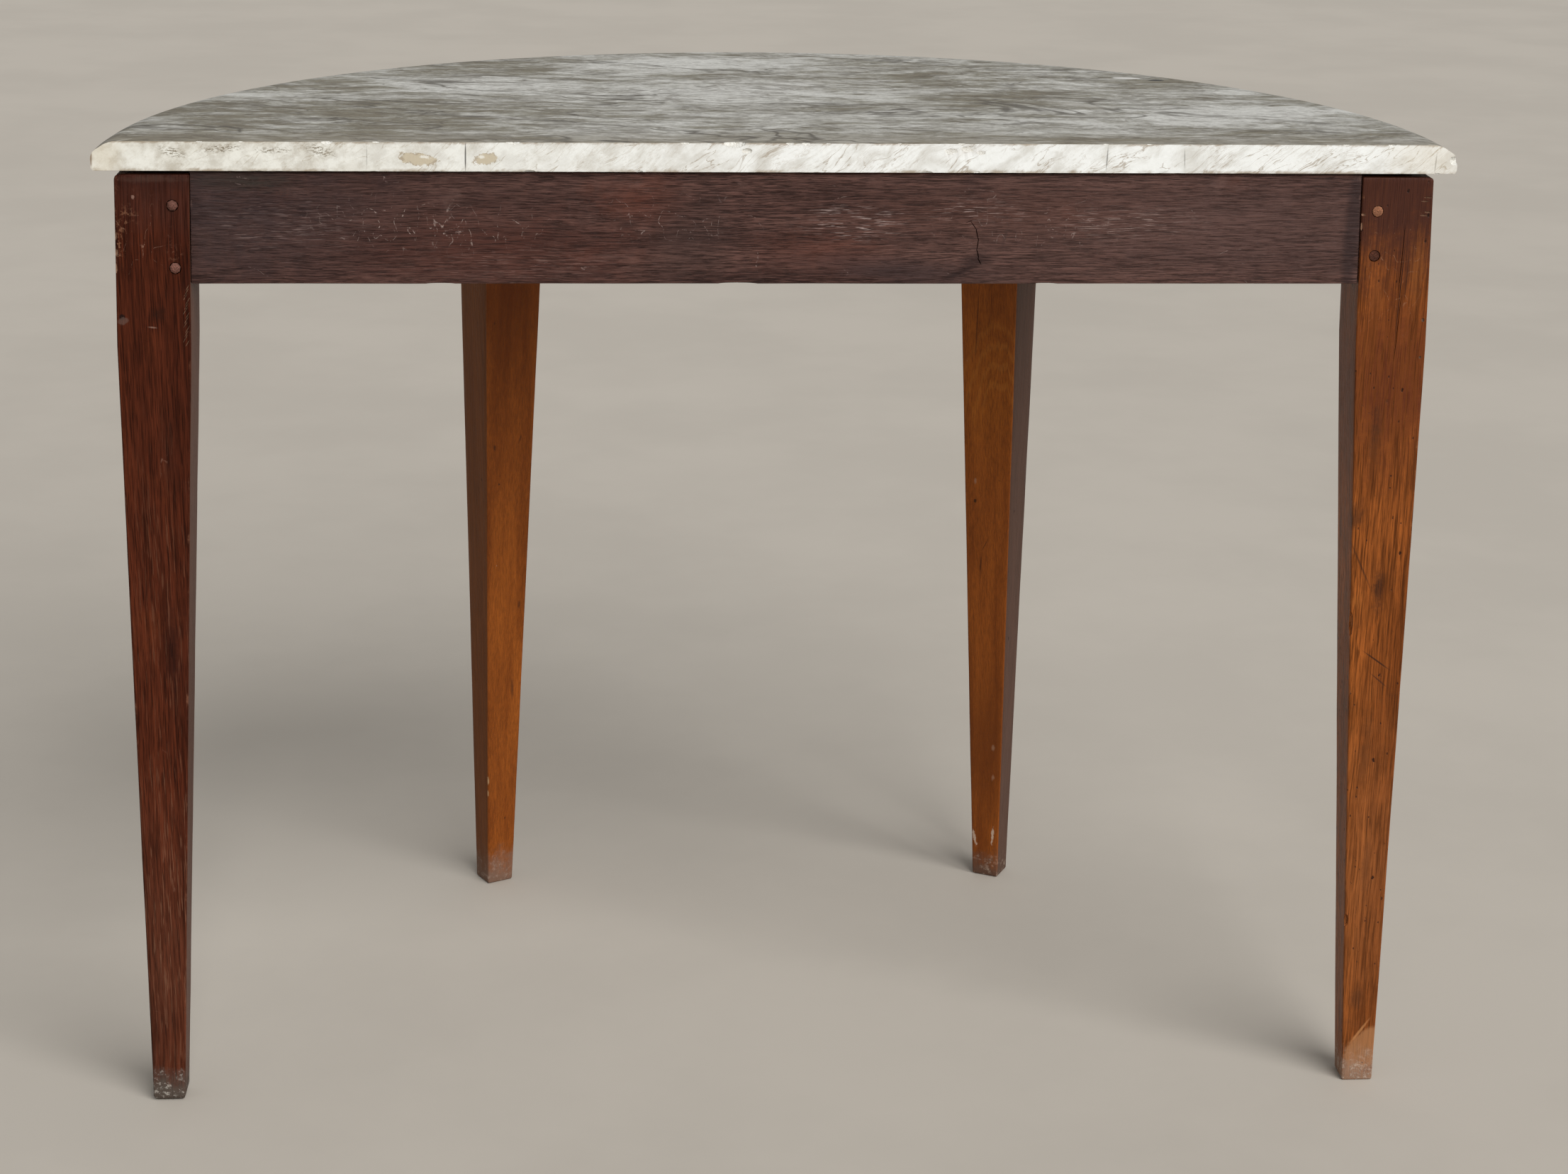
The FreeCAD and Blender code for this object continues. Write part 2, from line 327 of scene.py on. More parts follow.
def mark_wear(piece, sharper_than=0.2):
    """Keep on each point whether it lies on an arris, for the worn finishes."""
    start()
    shape = bmesh.new()
    shape.from_mesh(piece.data)
    values = [float(any(is_corner(edge, sharper_than) for edge in point.link_edges)) for point in shape.verts]
    shape.free()
    piece.data.attributes.new("wear", "FLOAT", "POINT").data.foreach_set("value", values)


def clouds(name, scale, depth=2, contrast=1.0, intensity=1.0):
    """A cloudy texture for a displacement."""
    texture = bpy.data.textures.new(name, "CLOUDS")
    texture.noise_scale = scale
    texture.noise_depth = depth
    texture.contrast = contrast
    texture.intensity = intensity
    texture.use_clamp = True
    return texture


def roughen(piece, sizes, share=1.0):
    """Age a wooden piece: mark its arrises and let its faces stray by a share of the usual depth."""
    mark_wear(piece)
    weights = [min(max((point.co.z - SOLE) / SOLE_FADE, 0.0), 1.0) for point in piece.data.vertices]
    faces = piece.vertex_groups.new(name="Faces")
    for index, weight in enumerate(weights):
        faces.add([index], weight, "REPLACE")
    apply(piece, "DISPLACE", texture=clouds("Uneven faces", WAVE_SIZE), texture_coords="LOCAL",
          strength=sizes.unevenness * share, mid_level=0.5, vertex_group="Faces")
    piece.vertex_groups.clear()


def done(piece, body, nodes, slot, *materials):
    """Finish a piece: smooth shading, its materials, its body and the nodes it stands for."""
    choose(piece)
    bpy.ops.object.shade_smooth_by_angle(angle=SMOOTH_BELOW)
    for material in materials:
        piece.data.materials.append(material)
    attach(piece, body)
    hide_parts(*nodes)


def dress(piece, index, test):
    """Give the faces that pass the test the finish in a slot of the piece."""
    work_on(piece)
    pick(piece, "FACE", test)
    piece.active_material_index = index
    bpy.ops.object.material_slot_assign()
    start()


def twin(piece, name):
    """A copy of a piece with its own mesh."""
    choose(piece)
    bpy.ops.object.duplicate(linked=False)
    copy = bpy.context.object
    copy.name = copy.data.name = name
    return copy


def turn(piece, angle):
    """Turn a piece about the slab's upright axis."""
    work_on(piece)
    take_all()
    # with no window the operator turns the other way
    bpy.ops.transform.rotate(value=-angle, orient_axis="Z", center_override=AXIS)
    start()


def chip_cutter(place, radii, seed):
    """A rough pebble that breaks a chip out of an edge."""
    start()
    bpy.ops.mesh.primitive_ico_sphere_add(subdivisions=3, radius=1.0, location=place, scale=radii)
    pebble = named("chip")
    take_all()
    bpy.ops.transform.vertex_random(offset=min(radii) * 0.22, seed=seed)
    start()
    return pebble


def slit_cutter(place, radii, tilt):
    """A thin lens that cuts a slit; tilt turns it in the face towards the camera."""
    start()
    bpy.ops.mesh.primitive_uv_sphere_add(segments=12, ring_count=16, radius=1.0, location=place, scale=radii,
                                         rotation=(0.0, tilt, 0.0))
    lens = named("slit")
    take_all()
    bpy.ops.transform.vertex_random(offset=min(radii) * 0.2, seed=3)
    start()
    return lens


# Material helpers


SOCKETS = {"value": "NodeSocketFloat", "vector": "NodeSocketVector"}
EFFECTS = {}


def shade(tone, factor):
    """A colour made darker or paler."""
    return [channel * factor for channel in tone]


class Bench:
    """Adds nodes to a material or a group, from left to right, and links them."""

    def __init__(self, tree):
        self.tree = tree
        self.count = 0

    def node(self, kind, **settings):
        made = self.tree.nodes.new(kind)
        for key, value in settings.items():
            setattr(made, key, value)
        made.location = (190 * (self.count % 12) - 2400, -240 * (self.count // 12))
        self.count += 1
        return made

    def feed(self, socket, value):
        if isinstance(value, bpy.types.NodeSocket):
            self.tree.links.new(value, socket)
        elif socket.type == "RGBA":
            socket.default_value = (*value[:3], 1.0)
        else:
            socket.default_value = value

    def fed(self, kind, given, **settings):
        """A node with its inputs fed by name or number."""
        made = self.node(kind, **settings)
        for key, value in given.items():
            self.feed(made.inputs[key], value)
        return made

    def place(self):
        return self.node("ShaderNodeTexCoord").outputs["Object"]

    def math(self, operation, first, second=0.0, clamp=False):
        made = self.fed("ShaderNodeMath", {0: first, 1: second}, operation=operation, use_clamp=clamp)
        return made.outputs[0]

    def times(self, first, second, clamp=False):
        return self.math("MULTIPLY", first, second, clamp)

    def plus(self, first, second, clamp=False):
        return self.math("ADD", first, second, clamp)

    def minus(self, first, second):
        return self.math("SUBTRACT", first, second)

    def span(self, value, low, high, to_low=0.0, to_high=1.0):
        made = self.node("ShaderNodeMapRange", interpolation_type="SMOOTHSTEP")
        for socket, given in zip(made.inputs, (value, low, high, to_low, to_high)):
            self.feed(socket, given)
        return made.outputs[0]

    def tint(self, amount, first, second, mode="MIX"):
        return self.fed("ShaderNodeMix", {0: amount, 6: first, 7: second}, data_type="RGBA",
                        blend_type=mode).outputs[2]

    def lay(self, base, mask, strength, tone):
        """A colour with a tone laid over it where a mask says."""
        return self.tint(self.times(mask, strength), base, tone)

    def noise(self, vector, scale, detail=3.0, roughness=0.5, distortion=0.0):
        return self.fed("ShaderNodeTexNoise", {"Vector": vector, "Scale": scale, "Detail": detail,
                                               "Roughness": roughness, "Distortion": distortion}).outputs[0]

    def line(self, noise, width):
        """Thin lines where a noise crosses its middle."""
        return self.span(self.math("ABSOLUTE", self.minus(noise, 0.5)), width, 0.0)

    def vector(self, operation, first, second):
        return self.fed("ShaderNodeVectorMath", {0: first, 1: second}, operation=operation).outputs[0]

    def turned(self, vector, rotation, scale):
        given = {"Vector": vector, "Rotation": rotation, "Scale": scale}
        return self.fed("ShaderNodeMapping", given).outputs[0]

    def swayed(self, vector, scale, detail, reach):
        """A place that strays, so that lines along it wander."""
        wander = self.fed("ShaderNodeTexNoise", {"Vector": vector, "Scale": scale, "Detail": detail})
        return self.vector("ADD", vector, self.vector("MULTIPLY", wander.outputs["Color"], (reach,) * 3))

    def within(self, vector, centre, turned, radii):
        """A place measured in a mark's radii, and how far that is from the mark's centre."""
        near = self.node("ShaderNodeMapping", vector_type="TEXTURE")
        for socket, value in zip(near.inputs, (vector, centre, turned, radii)):
            self.feed(socket, value)
        far = self.fed("ShaderNodeVectorMath", {0: near.outputs[0]}, operation="LENGTH")
        return near.outputs[0], far.outputs["Value"]

    def apart(self, vector):
        return self.fed("ShaderNodeSeparateXYZ", {0: vector}).outputs

    def group(self, name, place, **values):
        """A shared effect, with its inputs fed by name."""
        made = self.node("ShaderNodeGroup", node_tree=EFFECTS[name])
        self.feed(made.inputs["Vector"], place)
        for key, value in values.items():
            self.feed(made.inputs[key.replace("_", " ").title()], value)
        return made.outputs

    def mask(self, name, place, **values):
        return self.group(name, place, **values)["Mask"]


def effect(name, inputs, outputs):
    """Start a shader node group; gives its bench, its inputs and a call that sets an output."""
    tree = bpy.data.node_groups.new(name, "ShaderNodeTree")
    for label, kind in inputs.items():
        tree.interface.new_socket(name=label, in_out="INPUT", socket_type=SOCKETS[kind])
    for label, kind in outputs.items():
        tree.interface.new_socket(name=label, in_out="OUTPUT", socket_type=SOCKETS[kind])
    bench = Bench(tree)
    given = bench.node("NodeGroupInput").outputs
    result = bench.node("NodeGroupOutput")
    return tree, bench, given, lambda label, socket: tree.links.new(socket, result.inputs[label])


def wood_grain():
    """Figure, fibre, late-wood lines, pores and pale flecks; Stretch is small along the grain."""
    tree, bench, given, put = effect(
        "Wood Grain", {"Vector": "vector", "Stretch": "vector", "Scale": "value"},
        dict.fromkeys(("Figure", "Fibre", "Lines", "Pores", "Flecks"), "value"))
    along = bench.vector("MULTIPLY", bench.swayed(given["Vector"], 6.0, 2.0, 0.006), given["Stretch"])

    def layer(scale, detail, roughness, distortion=0.0):
        return bench.noise(along, bench.times(given["Scale"], scale), detail, roughness, distortion)

    put("Figure", layer(34.0, 3.0, 0.55, 0.4))
    put("Fibre", layer(560.0, 4.0, 0.70))
    put("Lines", bench.line(layer(150.0, 3.0, 0.6), 0.05))
    put("Pores", bench.span(layer(1050.0, 1.0, 0.5), 0.57, 0.66))
    put("Flecks", bench.span(layer(900.0, 2.0, 0.5), 0.58, 0.65))
    return tree


def round_the_axis():
    """Place measured round the slab's axis, so that grain follows a curved board."""
    tree, bench, given, put = effect("Round the Axis", {"Vector": "vector"}, {"Vector": "vector"})
    x, y, z = bench.apart(bench.vector("SUBTRACT", given["Vector"], tuple(AXIS)))[:3]
    angle = bench.math("ARCTAN2", y, x)
    radius = bench.math("SQRT", bench.plus(bench.times(x, x), bench.times(y, y)))
    put("Vector", bench.fed("ShaderNodeCombineXYZ", {0: bench.times(angle, 0.5), 1: radius, 2: z}).outputs[0])
    return tree


def arris_wear():
    """Rubbed places along the arrises."""
    tree, bench, given, put = effect("Arris Wear", {"Vector": "vector", "Amount": "value"}, {"Mask": "value"})
    edge = bench.node("ShaderNodeAttribute", attribute_name="wear").outputs["Fac"]
    patch = bench.noise(given["Vector"], 46.0, 5.0, 0.7)
    level = bench.plus(bench.times(edge, 0.55), bench.times(patch, 0.8))
    level = bench.plus(level, bench.times(given["Amount"], 0.35))
    put("Mask", bench.times(bench.span(level, 1.02, 1.22), bench.span(edge, 0.15, 0.7)))
    return tree


def scratches():
    """Thin stray lines."""
    tree, bench, given, put = effect(
        "Scratches", {"Vector": "vector", "Turn": "vector", "Stretch": "vector", "Amount": "value"},
        {"Mask": "value"})
    along = bench.turned(given["Vector"], given["Turn"], given["Stretch"])
    line = bench.line(bench.noise(along, 46.0, 1.0), 0.009)
    sparse = bench.noise(given["Vector"], 24.0, 3.0, 0.6)
    sparse = bench.plus(sparse, bench.times(given["Amount"], 0.3))
    broken = bench.span(bench.noise(given["Vector"], 300.0, 3.0, 0.7), 0.49, 0.58)
    put("Mask", bench.times(bench.times(line, bench.span(sparse, 0.64, 0.74)), broken))
    return tree


def stains():
    """Soft blotches of soil."""
    tree, bench, given, put = effect(
        "Stains", {"Vector": "vector", "Scale": "value", "Cover": "value"}, {"Mask": "value"})
    blot = bench.noise(given["Vector"], given["Scale"], 6.0, 0.62, 0.4)
    low = bench.minus(0.78, bench.times(given["Cover"], 0.45))
    put("Mask", bench.span(blot, low, bench.plus(low, 0.2)))
    return tree


def specks():
    """Small scattered dots, such as worm holes; Share is the part of the cells with one."""
    tree, bench, given, put = effect(
        "Specks", {"Vector": "vector", "Scale": "value", "Size": "value", "Share": "value"}, {"Mask": "value"})
    cells = bench.fed("ShaderNodeTexVoronoi", {"Vector": given["Vector"], "Scale": given["Scale"]})
    ragged = bench.times(bench.minus(bench.noise(given["Vector"], 700.0, 2.0), 0.5), 0.25)
    far = bench.plus(cells.outputs["Distance"], ragged)
    dot = bench.span(far, given["Size"], bench.times(given["Size"], 0.5))
    kept = bench.math("LESS_THAN", bench.apart(cells.outputs["Color"])[0], given["Share"])
    put("Mask", bench.times(dot, kept))
    return tree


def foot_grime():
    """Soil and splashes that climb from the floor."""
    tree, bench, given, put = effect("Foot Grime", {"Vector": "vector", "Height": "value"}, {"Mask": "value"})
    height = bench.math("DIVIDE", bench.apart(given["Vector"])[2], given["Height"])
    edge = bench.times(bench.noise(given["Vector"], 70.0, 6.0, 0.7), 1.3)
    put("Mask", bench.span(bench.plus(height, edge), 1.55, 0.75))
    return tree


def spot():
    """One placed mark: a knot, a stain, a fill, a crack or a patch of painted shade. Rags is how many ragged
    bits a metre holds.
    """
    tree, bench, given, put = effect(
        "Spot", {"Vector": "vector", "Centre": "vector", "Turn": "vector", "Radii": "vector",
                 "Ragged": "value", "Rags": "value", "Core": "value"}, {"Mask": "value"})
    far = bench.within(given["Vector"], given["Centre"], given["Turn"], given["Radii"])[1]
    ragged = bench.minus(bench.noise(given["Vector"], given["Rags"], 6.0, 0.75), 0.5)
    ragged = bench.times(ragged, given["Ragged"])
    put("Mask", bench.span(bench.plus(far, ragged), 1.0, given["Core"]))
    return tree


def marble_veins():
    """Cloudy body, fine streaks, short dashes and thin veins; the sizes are features per metre."""
    tree, bench, given, put = effect(
        "Marble Veins", dict.fromkeys(("Vector", "Turn", "Cloud Size", "Streak Size"), "vector"),
        dict.fromkeys(("Clouds", "Streaks", "Dashes", "Veins"), "value"))
    grown = bench.turned(bench.swayed(given["Vector"], 11.0, 4.0, 0.035), given["Turn"], (1.0, 1.0, 1.0))
    body = bench.vector("MULTIPLY", grown, given["Cloud Size"])
    put("Clouds", bench.noise(body, 1.0, 5.0, 0.58, 0.3))
    fine = bench.vector("MULTIPLY", grown, given["Streak Size"])
    put("Streaks", bench.noise(fine, 1.0, 6.0, 0.68, 0.5))

    def lines(scale, width, low, high, rough):
        sparse = bench.span(bench.noise(fine, scale * 0.55, 3.0, 0.6), low, high)
        return bench.times(bench.line(bench.noise(fine, scale, 4.0, rough, 0.7), width), sparse)

    put("Dashes", lines(2.1, 0.070, 0.43, 0.53, 0.60))
    put("Veins", lines(0.45, 0.020, 0.44, 0.56, 0.5))
    return tree


def make_effects():
    """Build each shared effect once."""
    for make in (wood_grain, round_the_axis, arris_wear, scratches, stains, specks, foot_grime, spot,
                 marble_veins):
        EFFECTS[make.__name__] = make()


def surface(name):
    """Start a material; gives its bench, its place and its shader."""
    material = bpy.data.materials.new(name)
    material.use_nodes = True
    bench = Bench(material.node_tree)
    shader = material.node_tree.nodes["Principled BSDF"]
    return material, bench, bench.place(), shader


def feed_shader(bench, shader, base, rough, height, bump, relief, gloss=0.5):
    """Feed a material's shader its colour, roughness, shine and bump."""
    bumped = bench.fed("ShaderNodeBump", {"Strength": bump, "Distance": relief, "Height": height})
    for name, value in (("Base Color", base), ("Roughness", rough), ("Specular IOR Level", gloss),
                        ("Normal", bumped.outputs[0])):
        bench.feed(shader.inputs[name], value)


def mark(tone, strength, centre, radii, ragged, core=0.0, tilt=0.0):
    """A placed mark on an upright side; one with no core is soft to its middle."""
    return tone, strength, centre, (0.0, tilt, 0.0), radii, ragged, core


def add_spots(bench, place, base, spots, grain=None):
    """Lay placed marks over a colour: (colour, strength, centre, turn, radii, ragged, core)."""
    for tone, strength, centre, turned, radii, ragged, core in spots:
        rags = min(max(2.0 / (radii[0] * radii[1] * radii[2]) ** (1 / 3), 60.0), 500.0)
        mask = bench.mask("spot", place, centre=centre, turn=turned, radii=radii, ragged=ragged, rags=rags,
                          core=core)
        if grain and core == 0.0:
            # a soft mark, a stain or painted shade alike, soaks along the grain
            mask = bench.times(mask, bench.span(grain, 0.36, 0.62, 0.35, 1.15))
        base = bench.tint(bench.times(mask, strength, clamp=True), base, tone)
    return base


def add_zones(bench, place, base, zones, pattern):
    """Lay a pattern over a colour in zones: (colour, strength, centre, radii)."""
    for number, (tone, strength, centre, radii) in enumerate(zones):
        zone = bench.mask("spot", place, centre=centre, turn=FLAT, radii=radii, ragged=0.8, rags=90.0, core=0.1)
        base = bench.lay(base, bench.times(zone, pattern(number)), strength, tone)
    return base


def add_arches(bench, place, base, figure, tone, strength, centre, turned, radii):
    """Lay the nested arches of plain-sawn wood over a colour."""
    near, far = bench.within(place, centre, turned, radii)
    reach = bench.plus(far, bench.times(figure, 0.35))
    rings = bench.span(bench.math("SINE", bench.times(reach, 36.0)), -0.1, 1.0)
    fade = bench.times(bench.span(reach, 0.35, 0.6), bench.span(reach, 1.25, 1.0))
    above = bench.span(bench.apart(near)[2], -0.15, 0.35)
    return bench.lay(base, bench.times(bench.times(rings, fade), above), strength, tone)


def wood(name, pale, dark, stretch, curved=False, scale=1.0, contrast=1.0, fibre=0.45, lines=0.35, pores=0.5,
         shine=0.42, gloss=0.12, wear=None, stains=(), dots=(), scratch=None, flecks=(), scrawls=(),
         flakes=(), arches=None, grime=None, spots=(), relief=0.0006):
    """A wood finish from its early and late wood, with the marks of use laid over it in turn."""
    material, bench, place, shader = surface(name)
    grown = bench.group("round_the_axis", place)[0] if curved else place
    grain = bench.group("wood_grain", grown, stretch=stretch, scale=scale)
    figure = bench.span(grain["Figure"], 0.5 - 0.22 / contrast, 0.5 + 0.22 / contrast)
    base = bench.tint(figure, dark, pale)
    if arches:
        base = add_arches(bench, place, base, grain["Figure"], *arches)
    streak = bench.span(grain["Fibre"], 0.32, 0.68, 1.0 - fibre, 1.0 + fibre)
    base = bench.tint(1.0, base, streak, "MULTIPLY")
    base = bench.lay(base, grain["Lines"], lines, shade(dark, 0.7))
    base = bench.lay(base, grain["Pores"], pores, shade(dark, 0.35))
    rough = bench.plus(bench.times(grain["Fibre"], 0.16), shine - 0.08)
    height = bench.minus(grain["Fibre"], bench.times(grain["Pores"], 0.6))
    height = bench.minus(height, bench.times(grain["Lines"], 0.3))
    for tone, size, cover, strength in stains:
        mask = bench.times(bench.mask("stains", place, scale=size, cover=cover), strength)
        mask = bench.times(mask, bench.span(grain["Fibre"], 0.25, 0.6, 0.55, 1.0))
        base = bench.tint(mask, base, tone)
        rough = bench.plus(rough, bench.times(mask, 0.08))
    base = add_spots(bench, place, base, spots, grain["Fibre"])
    for tone, size, wide, share, strength in dots:
        drawn = bench.vector("MULTIPLY", place, (1.0, 1.0, 0.6))
        mask = bench.mask("specks", drawn, scale=size, size=wide, share=share)
        base = bench.lay(base, mask, strength, tone)
        height = bench.minus(height, mask)
    if scratch:
        tone, turned, reach, amount, strength = scratch
        mask = bench.mask("scratches", place, turn=turned, stretch=reach, amount=amount)
        base = bench.lay(base, mask, strength, tone)
        height = bench.minus(height, bench.times(mask, 0.6))
    base = add_zones(bench, place, base, flecks, lambda number: grain["Flecks"])
    base = add_zones(bench, place, base, scrawls, lambda number: bench.mask(
        "scratches", place, turn=(0.0, 0.5 * number, 0.0), stretch=(1.6, 1.2, 1.0), amount=1.0))
    flaked = bench.span(bench.noise(place, 260.0, 4.0, 0.7, 0.6), 0.53, 0.58) if flakes else None
    base = add_zones(bench, place, base, flakes, lambda number: flaked)
    if wear:
        tone, amount = wear
        mask = bench.mask("arris_wear", place, amount=amount)
        base = bench.tint(mask, base, tone)
        rough = bench.plus(rough, bench.times(mask, 0.12))
    if grime:
        tone, tall, strength, crumb, share = grime
        mask = bench.times(bench.mask("foot_grime", place, height=tall), strength)
        crumbs = bench.span(bench.noise(place, 170.0, 6.0, 0.78), 0.64 - share * 0.4, 0.74 - share * 0.4)
        base = bench.tint(mask, base, bench.tint(crumbs, tone, crumb))
        rough = bench.plus(rough, bench.times(mask, 0.35), clamp=True)
        height = bench.plus(height, bench.times(mask, bench.plus(crumbs, 0.5)))
    feed_shader(bench, shader, base, rough, height, 0.6, relief, gloss)
    return material


# Finishes


def marble_top_finish(colours):
    """Soiled marble of the slab's top."""
    material, bench, place, shader = surface("marble top")
    veins = bench.group("marble_veins", place, turn=(0.0, 0.0, 0.06), cloud_size=(8.0, 18.0, 8.0),
                        streak_size=(18.0, 62.0, 18.0))
    long_veins = bench.group("marble_veins", place, turn=(0.0, 0.0, 0.20), cloud_size=(5.0, 9.0, 5.0),
                             streak_size=(10.0, 26.0, 10.0))
    level, deep = SLAB_HIGH.z, 0.05
    clean = bench.span(veins["Clouds"], 0.32, 0.66, 0.34, 0.80)
    # cleaner and more soiled parts: amount, x, y and the two radii
    for amount, x, y, wide, long in (
            (0.52, -0.016, -0.005, 0.21, 0.085), (0.45, -0.052, 0.166, 0.20, 0.06),
            (0.60, 0.379, -0.126, 0.17, 0.085), (0.30, -0.235, 0.03, 0.13, 0.06),
            (0.25, -0.06, -0.140, 0.13, 0.05), (-0.38, 0.207, -0.036, 0.13, 0.075),
            (-0.36, 0.161, 0.085, 0.15, 0.09), (-0.24, -0.370, -0.150, 0.26, 0.14),
            (-0.26, -0.259, 0.139, 0.16, 0.06), (-0.18, 0.33, 0.05, 0.13, 0.07)):
        mask = bench.mask("spot", place, centre=(x, y, level), turn=FLAT, radii=(wide, long, deep),
                          ragged=1.5, rags=60.0, core=0.0)
        clean = bench.plus(clean, bench.times(mask, amount))
    grit = bench.noise(bench.vector("MULTIPLY", place, (46.0, 150.0, 46.0)), 1.0, 5.0, 0.72, 0.8)
    streaky = bench.plus(bench.span(veins["Streaks"], 0.39, 0.61, -0.28, 0.20),
                         bench.span(grit, 0.40, 0.60, -0.17, 0.14))
    # the clean parts are more even
    streaky = bench.times(streaky, bench.span(clean, 0.50, 1.0, 1.0, 0.42))
    clean = bench.plus(clean, streaky, clamp=True)
    soiled, pale = colours.marble_soiled, colours.marble_pale
    dirtiest = [channel * factor for channel, factor in zip(soiled, (0.76, 0.71, 0.64))]
    base = bench.tint(bench.span(clean, 0.0, 0.30), dirtiest, soiled)
    base = bench.tint(bench.span(clean, 0.22, 0.62), base, [(a + b) * 0.49 for a, b in zip(soiled, pale)])
    base = bench.tint(bench.span(clean, 0.52, 0.98), base, pale)
    mottle = bench.span(bench.noise(place, 190.0, 5.0, 0.75), 0.3, 0.7, 0.86, 1.16)
    base = bench.tint(1.0, base, mottle, "MULTIPLY")
    # a browner band along the straight side
    near = bench.plus(bench.apart(place)[1], bench.times(veins["Clouds"], 0.03))
    band = bench.span(near, SLAB_LOW.y + 0.085, SLAB_LOW.y + 0.015)
    base = bench.tint(bench.times(band, bench.span(clean, 0.1, 0.8, 0.72, 0.62)), base, (0.250, 0.220, 0.164))
    base = bench.lay(base, bench.mask("stains", place, scale=26.0, cover=0.30), 0.28, (0.19, 0.160, 0.112))
    dashes = bench.times(veins["Dashes"], bench.span(clean, 0.15, 0.85, 0.85, 0.45))
    for lines, strength, tone in ((dashes, 0.75, (0.098, 0.078, 0.054)),
                                  (long_veins["Dashes"], 0.45, (0.135, 0.116, 0.088)),
                                  (veins["Veins"], 0.65, (0.100, 0.084, 0.064)),
                                  (long_veins["Veins"], 0.85, (0.090, 0.078, 0.062))):
        base = bench.lay(base, lines, strength, tone)
    # a pale smear, a white drip and a black hole
    base = add_spots(bench, place, base, (
        ((0.46, 0.44, 0.40), 0.55, (0.262, -0.070, level), (0.0, 0.0, -0.5), (0.045, 0.016, 0.02), 1.6, 0.0),
        ((0.80, 0.79, 0.77), 0.95, (0.323, 0.089, level), (0.0, 0.0, -0.1), (0.014, 0.0055, 0.02), 0.3, 0.7),
        ((0.025, 0.025, 0.025), 0.95, (0.347, 0.077, level), FLAT, (0.009, 0.006, 0.02), 0.6, 0.5)))
    base = bench.lay(base, bench.mask("arris_wear", place, amount=0.5), 0.7, (0.16, 0.125, 0.085))
    rough = bench.plus(bench.times(veins["Clouds"], 0.2), 0.38)
    height = bench.plus(bench.noise(place, 420.0, 2.0), veins["Streaks"])
    feed_shader(bench, shader, base, rough, height, 0.3, 0.0005, 0.35)
    return material


